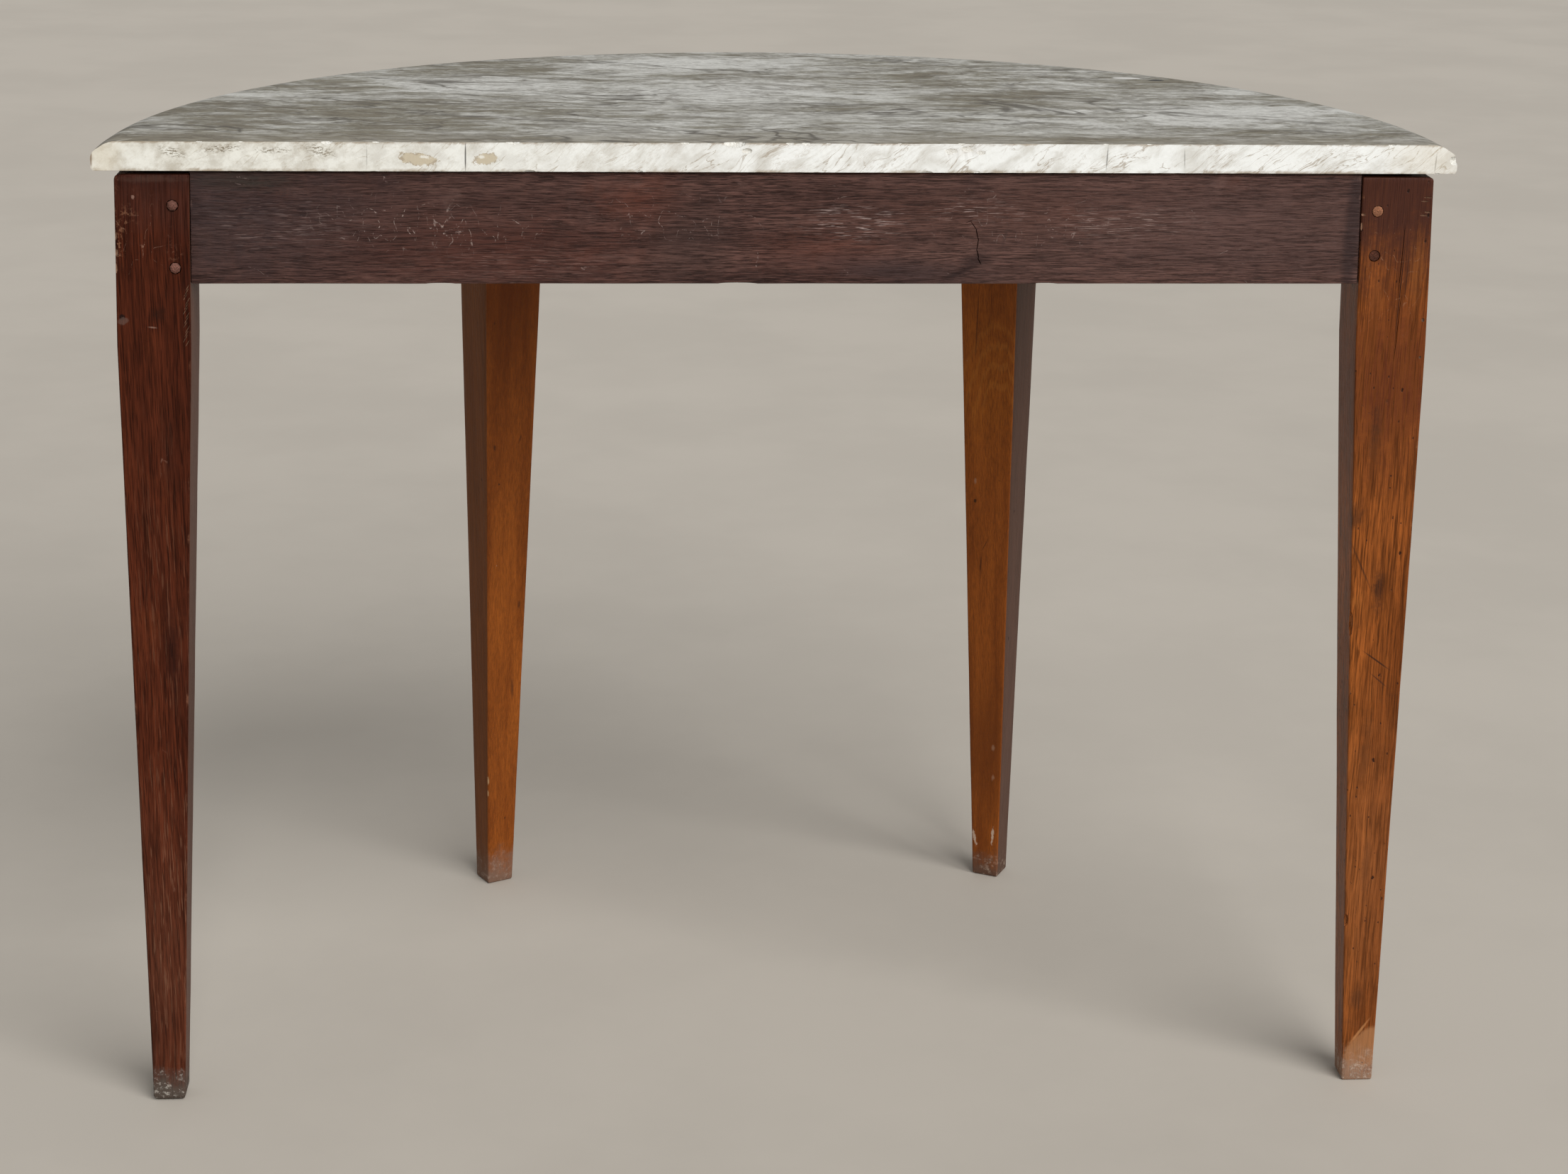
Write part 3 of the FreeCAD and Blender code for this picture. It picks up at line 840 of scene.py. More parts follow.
def marble_edge_finish(colours):
    """Cleaner marble of the slab's straight edge, with fills and dirt."""
    material, bench, place, shader = surface("marble edge")
    veins = bench.group("marble_veins", place, turn=(0.0, 0.62, 0.0), cloud_size=(34.0, 34.0, 70.0),
                        streak_size=(52.0, 70.0, 300.0))
    across, _, height = bench.apart(place)[:3]
    base = bench.tint(bench.span(veins["Clouds"], 0.32, 0.56), (0.67, 0.665, 0.63), colours.marble_edge)
    streaked = bench.span(bench.noise(place, 17.0, 4.0, 0.6), 0.44, 0.60, 0.10, 1.0)
    for lines, tone in ((bench.span(veins["Streaks"], 0.55, 0.76, 0.0, 0.62), (0.52, 0.48, 0.41)),
                        (bench.times(veins["Dashes"], 0.40), (0.46, 0.41, 0.34))):
        base = bench.lay(base, lines, streaked, tone)
    base = bench.lay(base, veins["Veins"], 0.75, (0.36, 0.30, 0.23))
    # cream towards the left end
    cream = bench.tint(bench.span(bench.noise(place, 60.0, 5.0, 0.7), 0.40, 0.64), (0.76, 0.75, 0.675),
                       (0.46, 0.42, 0.335))
    base = bench.tint(bench.span(across, 0.05, -0.48, 0.0, 0.68), base, cream)
    # dirt along the two arrises
    dirt = bench.span(bench.noise(place, 38.0, 4.0, 0.65), 0.42, 0.62)
    for level, deep, strength in ((SLAB_LOW.z, 0.0030, 0.75), (SLAB_HIGH.z, -0.0022, 0.70)):
        strayed = bench.plus(height, bench.times(bench.minus(veins["Streaks"], 0.5), 0.006))
        band = bench.span(strayed, level + deep, level + deep * 0.2)
        base = bench.lay(base, bench.times(band, dirt), strength, (0.30, 0.225, 0.145))
    y = SLAB_LOW.y
    fill, outline, bared = (0.56, 0.495, 0.375), (0.33, 0.25, 0.15), (0.80, 0.79, 0.73)
    black, scuff = (0.06, 0.055, 0.05), (0.21, 0.175, 0.125)
    base = add_spots(bench, place, base, (
        mark(outline, 0.75, (-0.2770, y, 0.7873), (0.0140, 0.01, 0.0050), 2.4, 0.88, 0.12),
        mark(fill, 0.95, (-0.2770, y, 0.7873), (0.0130, 0.01, 0.0043), 2.4, 0.86, 0.12),
        mark(outline, 0.70, (-0.2255, y, 0.7873), (0.0096, 0.01, 0.0048), 2.4, 0.88, -0.12),
        mark(fill, 0.95, (-0.2255, y, 0.7873), (0.0087, 0.01, 0.0041), 2.4, 0.86, -0.12),
        mark(bared, 0.85, (-0.2715, y, 0.7886), (0.0050, 0.01, 0.0016), 2.4, 0.3, 0.1),
        mark(bared, 0.85, (-0.2290, y, 0.7888), (0.0030, 0.01, 0.0018), 2.4, 0.3),
        mark(black, 0.85, (-0.241, y, 0.789), (0.0008, 0.01, 0.014), 0.3, 0.4, 0.02),
        mark(black, 0.60, (0.248, y, 0.789), (0.0008, 0.01, 0.012), 0.3, 0.3, 0.04),
        mark(black, 0.45, (0.308, y, 0.789), (0.0007, 0.01, 0.010), 0.3, 0.3, -0.05),
        mark(black, 0.55, (0.504, y, 0.786), (0.0008, 0.01, 0.010), 0.3, 0.3, 0.05),
        mark(black, 0.30, (-0.315, y, 0.789), (0.0006, 0.01, 0.012), 0.3, 0.3, 0.03),
        mark((0.62, 0.54, 0.40), 0.35, (0.500, y, 0.790), (0.045, 0.02, 0.03), 0.8, 0.1),
        mark((0.58, 0.50, 0.36), 0.40, (-0.512, y, 0.789), (0.020, 0.02, 0.03), 0.8, 0.1),
        mark((0.20, 0.13, 0.08), 0.80, (-0.5205, y, 0.789), (0.0016, 0.02, 0.013), 0.5, 0.3),
        mark((0.78, 0.78, 0.76), 0.80, (0.137, y, 0.7935), (0.022, 0.01, 0.006), 1.8, 0.3, -0.2)))
    # broken scuffs: x, z, tilt and the two radii
    drawn = bench.turned(place, (0.0, 0.5, 0.0), (1.0, 1.0, 2.4))
    strokes = bench.span(bench.noise(drawn, 330.0, 3.0, 0.7), 0.49, 0.56)
    for x, z, tilt, wide, tall in (
            (-0.459, 0.7915, 0.25, 0.016, 0.0050), (-0.424, 0.7945, -0.1, 0.021, 0.0040),
            (-0.385, 0.7935, 0.0, 0.018, 0.0032), (-0.350, 0.7930, 0.3, 0.016, 0.0060)):
        mask = bench.mask("spot", place, centre=(x, y, z), turn=(0.0, tilt, 0.0), radii=(wide, 0.01, tall),
                          ragged=1.2, rags=130.0, core=0.3)
        base = bench.lay(base, bench.times(mask, strokes), 0.90, scuff)
    base = bench.lay(base, bench.mask("arris_wear", place, amount=0.35), 0.5, (0.34, 0.28, 0.20))
    grains = bench.plus(bench.noise(place, 300.0, 3.0), veins["Streaks"])
    rough = bench.plus(bench.times(veins["Clouds"], 0.2), 0.38)
    feed_shader(bench, shader, base, rough, grains, 0.3, 0.0006, 0.35)
    return material


def marble_under_finish():
    """Sawn marble of the slab's underside and the dirty curved rim."""
    material, bench, place, shader = surface("marble underside")
    veins = bench.group("marble_veins", place, turn=(0.0, 0.0, 0.5), cloud_size=(7.0, 15.0, 9.0),
                        streak_size=(22.0, 80.0, 30.0))
    base = bench.tint(bench.span(veins["Clouds"], 0.3, 0.7), (0.42, 0.39, 0.32), (0.62, 0.60, 0.53))
    base = bench.lay(base, veins["Veins"], 0.5, (0.30, 0.28, 0.24))
    base = bench.lay(base, bench.mask("stains", place, scale=14.0, cover=0.5), 0.5, (0.27, 0.22, 0.15))
    saw = bench.noise(bench.vector("MULTIPLY", place, (8.0, 300.0, 8.0)), 1.0, 3.0)
    rough = bench.plus(bench.times(saw, 0.2), 0.6)
    feed_shader(bench, shader, base, rough, bench.plus(saw, veins["Streaks"]), 0.5, 0.0008)
    return material


def marble_broken_finish(colours):
    """Crystalline marble inside a chip."""
    material, bench, place, shader = surface("marble broken")
    grains = bench.noise(place, 700.0, 3.0, 0.7)
    base = bench.tint(bench.span(grains, 0.35, 0.65), (0.66, 0.64, 0.58), colours.marble_broken)
    base = bench.lay(base, bench.mask("stains", place, scale=60.0, cover=0.5), 0.5, (0.38, 0.31, 0.22))
    rough = bench.plus(bench.times(grains, 0.3), 0.45)
    feed_shader(bench, shader, base, rough, grains, 0.8, 0.001)
    return material


def rail_finish(colours):
    """Dry, dark wood of the rail, with rubbed flecks, scuffs, a knot and tone that changes along it."""
    y = RAIL_LOW.y
    return wood(
        "rail wood", colours.rail_pale, colours.rail_dark, (0.050, 1.0, 1.0), scale=1.5, contrast=0.8,
        fibre=0.66, lines=0.34, pores=0.75, shine=0.48, gloss=0.10, relief=0.0009,
        wear=((0.17, 0.10, 0.085), 0.1),
        stains=(((0.034, 0.020, 0.020), 12.0, 0.50, 0.70), ((0.140, 0.050, 0.032), 18.0, 0.42, 0.60),
                ((0.170, 0.098, 0.084), 26.0, 0.42, 0.60)),
        scratch=((0.34, 0.25, 0.23), (0.0, 0.22, 0.0), (0.5, 1.0, 1.3), 0.20, 0.7),
        flecks=(((0.42, 0.32, 0.30), 0.85, (0.055, y, 0.738), (0.055, 0.02, 0.020)),
                ((0.36, 0.26, 0.24), 0.70, (0.150, y, 0.748), (0.060, 0.02, 0.014)),
                ((0.30, 0.21, 0.19), 0.65, (0.265, y, 0.738), (0.085, 0.02, 0.020)),
                ((0.20, 0.14, 0.13), 0.55, (-0.38, y, 0.735), (0.10, 0.02, 0.035)),
                ((0.22, 0.13, 0.11), 0.50, (-0.20, y, 0.705), (0.14, 0.02, 0.020))),
        scrawls=(((0.40, 0.31, 0.28), 0.80, (-0.235, y, 0.735), (0.085, 0.02, 0.026)),
                 ((0.42, 0.33, 0.30), 0.85, (-0.300, y, 0.738), (0.075, 0.02, 0.028)),
                 ((0.40, 0.31, 0.29), 0.85, (-0.085, y, 0.742), (0.070, 0.02, 0.026)),
                 ((0.36, 0.28, 0.26), 0.60, (0.190, y, 0.735), (0.110, 0.02, 0.024))),
        spots=(
            mark((0.040, 0.020, 0.018), 0.45, (-0.27, y, 0.740), (0.24, 0.05, 0.08), 1.2),
            mark((0.140, 0.078, 0.066), 0.45, (0.26, y, 0.735), (0.30, 0.05, 0.10), 1.0),
            mark((0.130, 0.038, 0.022), 0.45, (-0.105, y, 0.755), (0.05, 0.05, 0.035), 1.5),
            mark((0.130, 0.042, 0.026), 0.45, (0.030, y, 0.715), (0.08, 0.05, 0.025), 1.5),
            mark((0.034, 0.025, 0.027), 0.65, (-0.43, y, 0.745), (0.17, 0.05, 0.08), 1.2),
            mark((0.030, 0.027, 0.022), 0.75, (-0.405, y, 0.770), (0.060, 0.05, 0.012), 1.2, tilt=0.05),
            mark((0.098, 0.031, 0.020), 0.45, (-0.22, y, 0.718), (0.17, 0.05, 0.045), 1.4),
            mark((0.055, 0.034, 0.030), 0.50, (-0.075, y, 0.725), (0.05, 0.05, 0.06), 1.4),
            mark((0.105, 0.046, 0.034), 0.45, (0.16, y, 0.745), (0.20, 0.05, 0.030), 1.3),
            mark((0.100, 0.058, 0.052), 0.50, (0.36, y, 0.735), (0.16, 0.05, 0.07), 1.3),
            mark((0.045, 0.030, 0.031), 0.60, (0.080, y, 0.702), (0.12, 0.05, 0.016), 1.2, tilt=0.1),
            mark((0.030, 0.018, 0.018), 0.70, (0.4435, y, 0.735), (0.009, 0.05, 0.09), 0.3, 0.3, 0.03),
            mark((0.022, 0.013, 0.013), 0.85, (0.150, y, 0.709), (0.020, 0.02, 0.009), 1.2, tilt=-0.3),
            mark((0.024, 0.013, 0.012), 0.80, (0.1375, y, 0.6995), (0.021, 0.02, 0.0030), 1.0, 0.1, -0.41),
            mark((0.040, 0.024, 0.022), 0.55, (0.172, y, 0.728), (0.0022, 0.02, 0.012), 0.8, tilt=0.25),
            mark((0.028, 0.016, 0.014), 0.80, (-0.119, y, 0.7365), (0.011, 0.02, 0.0055), 1.0)))


DARK_FOOT_SOIL, DARK_FOOT_CRUST = (0.085, 0.068, 0.056), (0.42, 0.385, 0.345)


def dark_leg_finish(colours):
    """Dark red wood of the left back leg, flaked and scratched at its head."""
    y = LEFT_LOW.y
    return wood(
        "dark leg wood", colours.dark_leg_pale, colours.dark_leg_dark, UPRIGHT, contrast=0.8, fibre=0.46,
        lines=0.20, pores=0.6, shine=0.40, gloss=0.07, wear=((0.19, 0.080, 0.046), 0.1),
        stains=(((0.024, 0.008, 0.006), 11.0, 0.45, 0.60), ((0.024, 0.009, 0.007), 34.0, 0.42, 0.45),
                ((0.125, 0.030, 0.010), 15.0, 0.42, 0.50)),
        scratch=((0.22, 0.11, 0.075), (0.0, 0.5, 0.0), (1.2, 1.0, 0.4), 0.15, 0.55),
        flecks=(((0.22, 0.105, 0.062), 0.50, (-0.49, y, 0.16), (0.05, 0.03, 0.20)),
                ((0.19, 0.080, 0.045), 0.34, (-0.48, y, 0.42), (0.05, 0.03, 0.22))),
        scrawls=(((0.30, 0.17, 0.12), 0.7, (-0.490, y, 0.725), (0.030, 0.03, 0.045)),),
        flakes=(((0.23, 0.105, 0.055), 0.80, (-0.5045, y, 0.722), (0.007, 0.02, 0.022)),
                ((0.20, 0.090, 0.050), 0.60, (-0.4970, y, 0.742), (0.012, 0.02, 0.014)),
                ((0.17, 0.075, 0.045), 0.55, (-0.4620, y, 0.715), (0.008, 0.02, 0.010)),
                ((0.15, 0.070, 0.045), 0.50, (-0.5050, y, 0.770), (0.006, 0.02, 0.016))),
        grime=(DARK_FOOT_SOIL, 0.040, 0.92, DARK_FOOT_CRUST, 0.30),
        spots=(
            mark((0.060, 0.022, 0.016), 0.60, (-0.472, y, 0.755), (0.06, 0.03, 0.045), 1.2),
            mark((0.026, 0.011, 0.009), 0.70, (-0.476, y, 0.772), (0.040, 0.03, 0.024), 1.8),
            mark((0.110, 0.042, 0.024), 0.40, (-0.500, y, 0.120), (0.05, 0.05, 0.20), 0.6),
            mark((0.090, 0.050, 0.038), 0.35, (-0.478, y, 0.771), (0.040, 0.03, 0.0035), 2.0, 0.1),
            mark((0.012, 0.006, 0.005), 0.90, (-0.5040, y, 0.665), (0.0030, 0.02, 0.0030), 0.4, 0.5),
            mark((0.130, 0.080, 0.065), 0.50, (-0.5035, y, 0.662), (0.0046, 0.02, 0.0036), 2.2, 0.6),
            mark((0.016, 0.007, 0.005), 0.75, (-0.477, y, 0.668), (0.010, 0.02, 0.008), 2.2),
            mark((0.250, 0.150, 0.115), 0.70, (-0.4815, y, 0.657), (0.0045, 0.02, 0.0009), 0.5, 0.2, 0.1),
            mark((0.016, 0.006, 0.005), 0.60, (-0.479, y, 0.395), (0.009, 0.02, 0.075), 1.3),
            mark((0.018, 0.007, 0.005), 0.45, (-0.474, y, 0.560), (0.010, 0.02, 0.050), 1.3),
            mark((0.240, 0.140, 0.110), 0.80, (-0.4912, y, 0.7575), (0.0015, 0.02, 0.0020), 2.2, 0.5)))


def dark_leg_painted_sheen_finish():
    """Inner side of the dark leg, paler and greyer than its front: painted reflection of the pale room at a
    glancing angle.
    """
    return wood(
        "dark leg inner side painted sheen", (0.108, 0.044, 0.027), (0.080, 0.031, 0.019), UPRIGHT, contrast=0.6, fibre=0.20,
        lines=0.15, pores=0.25, shine=0.42, gloss=0.08, wear=((0.17, 0.09, 0.06), 0.0),
        stains=(((0.050, 0.026, 0.020), 11.0, 0.40, 0.4),),
        grime=(DARK_FOOT_SOIL, 0.040, 0.9, DARK_FOOT_CRUST, 0.30))


def worn_leg_finish(colours):
    """Rubbed orange wood of the right back leg, dark at its head and bare at its foot."""
    y = RIGHT_LOW.y
    return wood(
        "worn leg wood", colours.worn_leg_pale, colours.worn_leg_dark, UPRIGHT, contrast=0.9, fibre=0.50,
        lines=0.34, pores=0.55, shine=0.38, gloss=0.10, wear=((0.36, 0.16, 0.070), 0.05),
        dots=(((0.016, 0.007, 0.005), 120.0, 0.16, 0.22, 0.9), ((0.030, 0.012, 0.008), 260.0, 0.20, 0.10, 0.8)),
        stains=(((0.095, 0.028, 0.008), 13.0, 0.42, 0.60), ((0.080, 0.026, 0.010), 42.0, 0.42, 0.50),
                ((0.40, 0.140, 0.030), 16.0, 0.40, 0.45)),
        scratch=((0.075, 0.028, 0.014), (0.0, 0.7, 0.0), (1.4, 1.0, 0.35), 0.25, 0.6),
        scrawls=(((0.32, 0.17, 0.10), 0.6, (0.480, y, 0.70), (0.05, 0.03, 0.06)),),
        grime=((0.30, 0.185, 0.125), 0.040, 0.85, (0.47, 0.36, 0.29), 0.40),
        spots=(
            mark((0.049, 0.0175, 0.0130), 0.92, (0.470, y, 0.785), (0.10, 0.2, 0.13), 0.8, 0.3),
            mark((0.098, 0.024, 0.009), 0.85, (0.478, y, 0.610), (0.10, 0.2, 0.13), 0.9),
            mark((0.230, 0.075, 0.018), 0.70, (0.4965, y, 0.700), (0.010, 0.05, 0.045), 1.2),
            mark((0.200, 0.062, 0.016), 0.60, (0.4660, y, 0.680), (0.008, 0.05, 0.022), 1.4),
            mark((0.019, 0.008, 0.006), 0.92, (0.4845, y, 0.683), (0.0007, 0.02, 0.055), 0.4, 0.3, 0.03),
            mark((0.050, 0.018, 0.010), 0.70, (0.4890, y, 0.700), (0.0012, 0.02, 0.030), 0.7, 0.1, 0.03),
            mark((0.026, 0.012, 0.008), 0.85, (0.4860, y, 0.440), (0.008, 0.02, 0.026), 1.7),
            mark((0.050, 0.020, 0.010), 0.75, (0.4620, y, 0.500), (0.008, 0.02, 0.022), 1.4, tilt=0.35),
            mark((0.045, 0.018, 0.009), 0.70, (0.4700, y, 0.460), (0.0013, 0.02, 0.034), 0.6, 0.1, -0.45),
            mark((0.055, 0.022, 0.010), 0.70, (0.4740, y, 0.565), (0.008, 0.02, 0.040), 1.6),
            mark((0.320, 0.110, 0.034), 0.50, (0.4920, y, 0.190), (0.05, 0.05, 0.20), 1.0),
            mark((0.055, 0.022, 0.010), 0.50, (0.4860, y, 0.300), (0.007, 0.02, 0.055), 1.6),
            mark((0.060, 0.024, 0.011), 0.40, (0.4940, y, 0.195), (0.006, 0.02, 0.035), 1.6),
            mark((0.040, 0.016, 0.009), 0.90, (0.489, y, 0.379), (0.018, 0.02, 0.0010), 0.3, 0.3, 0.62),
            mark((0.045, 0.018, 0.011), 0.75, (0.492, y, 0.362), (0.012, 0.02, 0.0008), 0.3, 0.3, 0.70),
            mark((0.060, 0.026, 0.013), 0.60, (0.494, y, 0.078), (0.008, 0.03, 0.018), 1.4),
            mark((0.36, 0.165, 0.070), 0.75, (0.506, y, 0.030), (0.026, 0.03, 0.017), 0.5, 0.75, -0.90),
            mark((0.45, 0.200, 0.075), 0.70, (0.4995, y, 0.046), (0.018, 0.03, 0.0016), 0.6, 0.3, -0.98)))


def bare_cut_finish(colours):
    """Bare wood inside nicks and cuts."""
    fresh = colours.fresh_cut
    return wood("bare cut wood", fresh, shade(fresh, 0.45), UPRIGHT, fibre=0.5, shine=0.6, gloss=0.08,
                stains=((shade(fresh, 0.4), 120.0, 0.6, 0.7),))


def front_leg_finish(name, colours, cover, arches, grime, marks):
    """Smooth orange wood of a front leg's inner face."""
    return wood(
        name, colours.front_leg_pale, colours.front_leg_dark, UPRIGHT, scale=2.2, contrast=0.75, fibre=0.22,
        lines=0.08, pores=0.15, shine=0.34, gloss=0.14, relief=0.0003, wear=((0.40, 0.16, 0.06), -0.05),
        stains=(((0.105, 0.026, 0.005), 6.0, cover, 0.5), ((0.36, 0.115, 0.020), 12.0, 0.34, 0.35)),
        dots=(((0.030, 0.010, 0.005), 90.0, 0.10, 0.12, 0.8), ((0.42, 0.26, 0.17), 110.0, 0.06, 0.06, 0.5)),
        scratch=((0.48, 0.24, 0.11), (0.0, 0.4, 0.3), (1.2, 1.2, 0.3), -0.1, 0.35),
        arches=arches, grime=grime, spots=marks)


def front_leg_painted_light_flank_finish(name, pale, dark, grime):
    """Flank of a front leg in its own colours for how light falls there: painted reflection makes the right
    leg's flank greyer, painted shade makes the left leg's flank darker.
    """
    return wood(
        name, pale, dark, UPRIGHT, scale=0.9, contrast=0.6, fibre=0.15, lines=0.10, pores=0.2, shine=0.40,
        gloss=0.04, relief=0.0003, wear=((0.26, 0.12, 0.06), -0.05),
        stains=((shade(dark, 0.6), 9.0, 0.35, 0.4),), dots=(((0.020, 0.009, 0.005), 80.0, 0.10, 0.10, 0.8),),
        grime=grime)


def apron_finish(colours):
    """Wood of the curved aprons, with its grain round the axis."""
    return wood(
        "apron wood", colours.apron_pale, colours.apron_dark, LENGTHWISE, curved=True,
        wear=((0.24, 0.12, 0.07), 0.1),
        stains=(((0.050, 0.022, 0.015), 9.0, 0.45, 0.5), ((0.20, 0.075, 0.034), 14.0, 0.38, 0.4)),
        scratch=((0.28, 0.17, 0.11), (0.0, 0.3, 0.4), (0.6, 0.6, 1.4), 0.1, 0.4))


def bearer_finish(colours):
    """Plain unfinished wood of the bearer."""
    return wood(
        "secondary wood", colours.bearer_pale, colours.bearer_dark, INWARD, pores=0.4, shine=0.62,
        wear=((0.36, 0.25, 0.15), 0.1), stains=(((0.11, 0.065, 0.040), 12.0, 0.4, 0.5),),
        scratch=((0.38, 0.27, 0.17), (0.0, 0.0, 0.3), (1.4, 0.4, 1.0), 0.1, 0.4))


def peg_finish(name, tone, ring):
    """End grain of a peg, with a paler worn ring."""
    return wood(name, shade(tone, 1.35), shade(tone, 0.6), (1.0, 0.05, 1.0), scale=2.2, pores=0.4, shine=0.5,
                wear=(ring, 0.2), stains=((shade(tone, 0.40), 150.0, 0.4, 0.4),))


# Pieces


class TABLE_OT_marble_slab(bpy.types.Operator):
    """Make the half-round marble slab"""
    bl_idname = "table.marble_slab"
    bl_label = "Marble Slab"

    def execute(self, context):
        sizes, colours = context.scene.table_sizes, context.scene.table_colours
        low, high = SLAB_LOW, SLAB_HIGH
        slab = self.half_disc(sizes, low, high)
        finishes = [marble_top_finish(colours), marble_edge_finish(colours), marble_under_finish(),
                    marble_broken_finish(colours)]
        for finish in finishes:
            slab.data.materials.append(finish)
        dress(slab, 1, lambda face: face.normal.y < -0.6)
        dress(slab, 2, lambda face: face.normal.y >= -0.6 and face.normal.z < 0.35)
        cut(slab, self.chips(low, high), finishes[3])
        mark_wear(slab, 0.3)
        # small dents along the two straight arrises
        edge = slab.vertex_groups.new(name="Straight arrises")
        wear = slab.data.attributes["wear"].data
        worn = [point.index for point in slab.data.vertices if point.co.y < low.y + 2 * NEAR
                and abs(point.co.x) < 0.505 and wear[point.index].value > 0.5]
        edge.add(worn, 1.0, "REPLACE")
        apply(slab, "DISPLACE", texture=clouds("Marble dents", 0.006, 3, 4.0, 0.12), texture_coords="LOCAL",
              strength=-MARBLE_DENT, mid_level=0.0, vertex_group="Straight arrises")
        slab.vertex_groups.clear()
        done(slab, "top", ["marble_top"], "marble")
        return {"FINISHED"}

    def half_disc(self, sizes, low, high):
        """The slab's shape, with its edges cut finely enough for dents."""
        radius = high.x
        start()
        bpy.ops.mesh.primitive_cylinder_add(
            vertices=SLAB_FACETS, radius=radius, depth=high.z - low.z, end_fill_type="NGON",
            location=(0.0, low.y, (low.z + high.z) / 2))
        slab = named("marble_slab")

        def on_ring(reach, level):
            return lambda edge: all(abs(point.co.z - level) < WELD
                                    and abs((point.co - AXIS).xy.length - reach) < 0.2 * NEAR
                                    for point in edge.verts)

        pick(slab, "FACE", lambda face: face.normal.z > 0.9)
        bpy.ops.mesh.inset(thickness=sizes.slab_nosing)
        pick(slab, "EDGE", on_ring(radius, high.z))
        bpy.ops.transform.translate(value=(0.0, 0.0, -sizes.slab_nosing_drop))
        round_off(slab, on_ring(radius, high.z - sizes.slab_nosing_drop), NOSING_ROUNDS[0], 4)
        round_off(slab, on_ring(radius - sizes.slab_nosing, high.z), NOSING_ROUNDS[1], 4)
        round_off(slab, on_ring(radius, low.z), sizes.slab_lower_round, 4)
        take_all()
        bpy.ops.mesh.bisect(plane_co=AXIS, plane_no=Y, use_fill=True, clear_inner=True)
        round_off(slab, lies_along(X, 0.5), sizes.slab_arris)
        split(slab, lies_along(X, 0.5), 100)
        split(slab, lambda edge: lies_along(X, 0.0095)(edge)
              and all(point.co.y < low.y + 2 * NEAR for point in edge.verts), 2)
        for normal, border, area in ((Z, TOP_BORDER, 0.01), (-Z, TOP_BORDER, 0.01), (-Y, EDGE_BORDER, 0.0)):
            pick(slab, "FACE", lambda face: face.normal.dot(normal) > 0.99 and face.calc_area() > area)
            bpy.ops.mesh.inset(thickness=border)
        start()
        return slab

    def chips(self, low, high):
        """Cutters for the larger chips of the straight edge and for small ones strewn along it."""
        dice = random.Random(11)
        chips = [((-0.0375, low.y, high.z), (0.009, 0.004, 0.0035)),
                 ((-0.028, low.y, high.z - 0.006), (0.004, 0.0016, 0.002)),
                 ((0.128, low.y - 0.0008, high.z - 0.006), (0.006, 0.0013, 0.0030)),
                 ((0.141, low.y - 0.0007, high.z - 0.004), (0.007, 0.0013, 0.0028)),
                 ((0.151, low.y - 0.0007, high.z - 0.007), (0.004, 0.0012, 0.0020)),
                 ((0.5195, low.y, high.z - 0.012), (0.005, 0.004, 0.0035))]
        for _ in range(CHIP_COUNT):
            wide = dice.uniform(0.0015, 0.0050)
            level = high.z if dice.random() < 0.75 else low.z
            chips.append(((dice.uniform(-0.50, 0.51), low.y - 0.2 * NEAR, level),
                          (wide, wide * dice.uniform(0.3, 0.5), wide * dice.uniform(0.25, 0.5))))
        return [chip_cutter(place, radii, number) for number, (place, radii) in enumerate(chips)]


class TABLE_OT_back_rail(bpy.types.Operator):
    """Make the back rail between the two back legs"""
    bl_idname = "table.back_rail"
    bl_label = "Back Rail"

    def execute(self, context):
        sizes, colours = context.scene.table_sizes, context.scene.table_colours
        reach = RIGHT_LOW.x - sizes.joint_gap
        y, low, high = RAIL_LOW.y, RAIL_LOW.z, RAIL_HIGH.z
        rail = block("back_rail_board", (-reach, y, low), (reach, RAIL_HIGH.y, high))
        share = (high - low) / (high - low + sizes.taper_drop)
        for side, lean in ((-1, sizes.left_lean), (1, sizes.right_lean)):
            # the ends follow the leaning heads
            pick(rail, "VERT", lambda point: point.co.x * side > 0.0 and point.co.z < low + 10 * NEAR)
            bpy.ops.transform.translate(value=(side * lean * share, 0.0, 0.0))
        round_off(rail, lambda edge: all(point.co.y < y + NEAR and point.co.z > high - NEAR
                                         for point in edge.verts), sizes.rail_hollow, 1)
        round_off(rail, lambda edge: is_corner(edge) and any(point.co.z <= high - 4 * NEAR
                                                             for point in edge.verts), sizes.board_arris)
        for direction, cuts in ((X, 300), (Z, 16), (Y, 4)):
            split(rail, lies_along(direction, 0.015), cuts)
        start()
        roughen(rail, sizes, 0.8)
        # splinters gone from the lower edge: x and radii
        cutters = [chip_cutter((x, y, low), radii, number) for number, (x, radii) in enumerate((
            (-0.034, (0.016, 0.005, 0.0016)), (0.205, (0.010, 0.004, 0.0012)),
            (-0.262, (0.012, 0.004, 0.0011))))]
        # the crack that wanders down to the knot: x, z, half width, half length and tilt
        cutters += [slit_cutter((x, y, z), (wide, 0.002, long), tilt) for x, z, wide, long, tilt in (
            (0.1440, 0.7395, 0.0003, 0.0030, 1.2), (0.1474, 0.7362, 0.0003, 0.0046, -0.62),
            (0.1502, 0.7296, 0.0004, 0.0046, -0.22), (0.1509, 0.7214, 0.0004, 0.0052, 0.14),
            (0.1513, 0.7140, 0.0004, 0.0040, -0.25), (0.1526, 0.7085, 0.0004, 0.0032, -0.50))]
        finish = rail_finish(colours)
        rail.data.materials.append(finish)
        cut(rail, cutters, finish)
        done(rail, "frame", ["back_rail"], "rail wood")
        return {"FINISHED"}


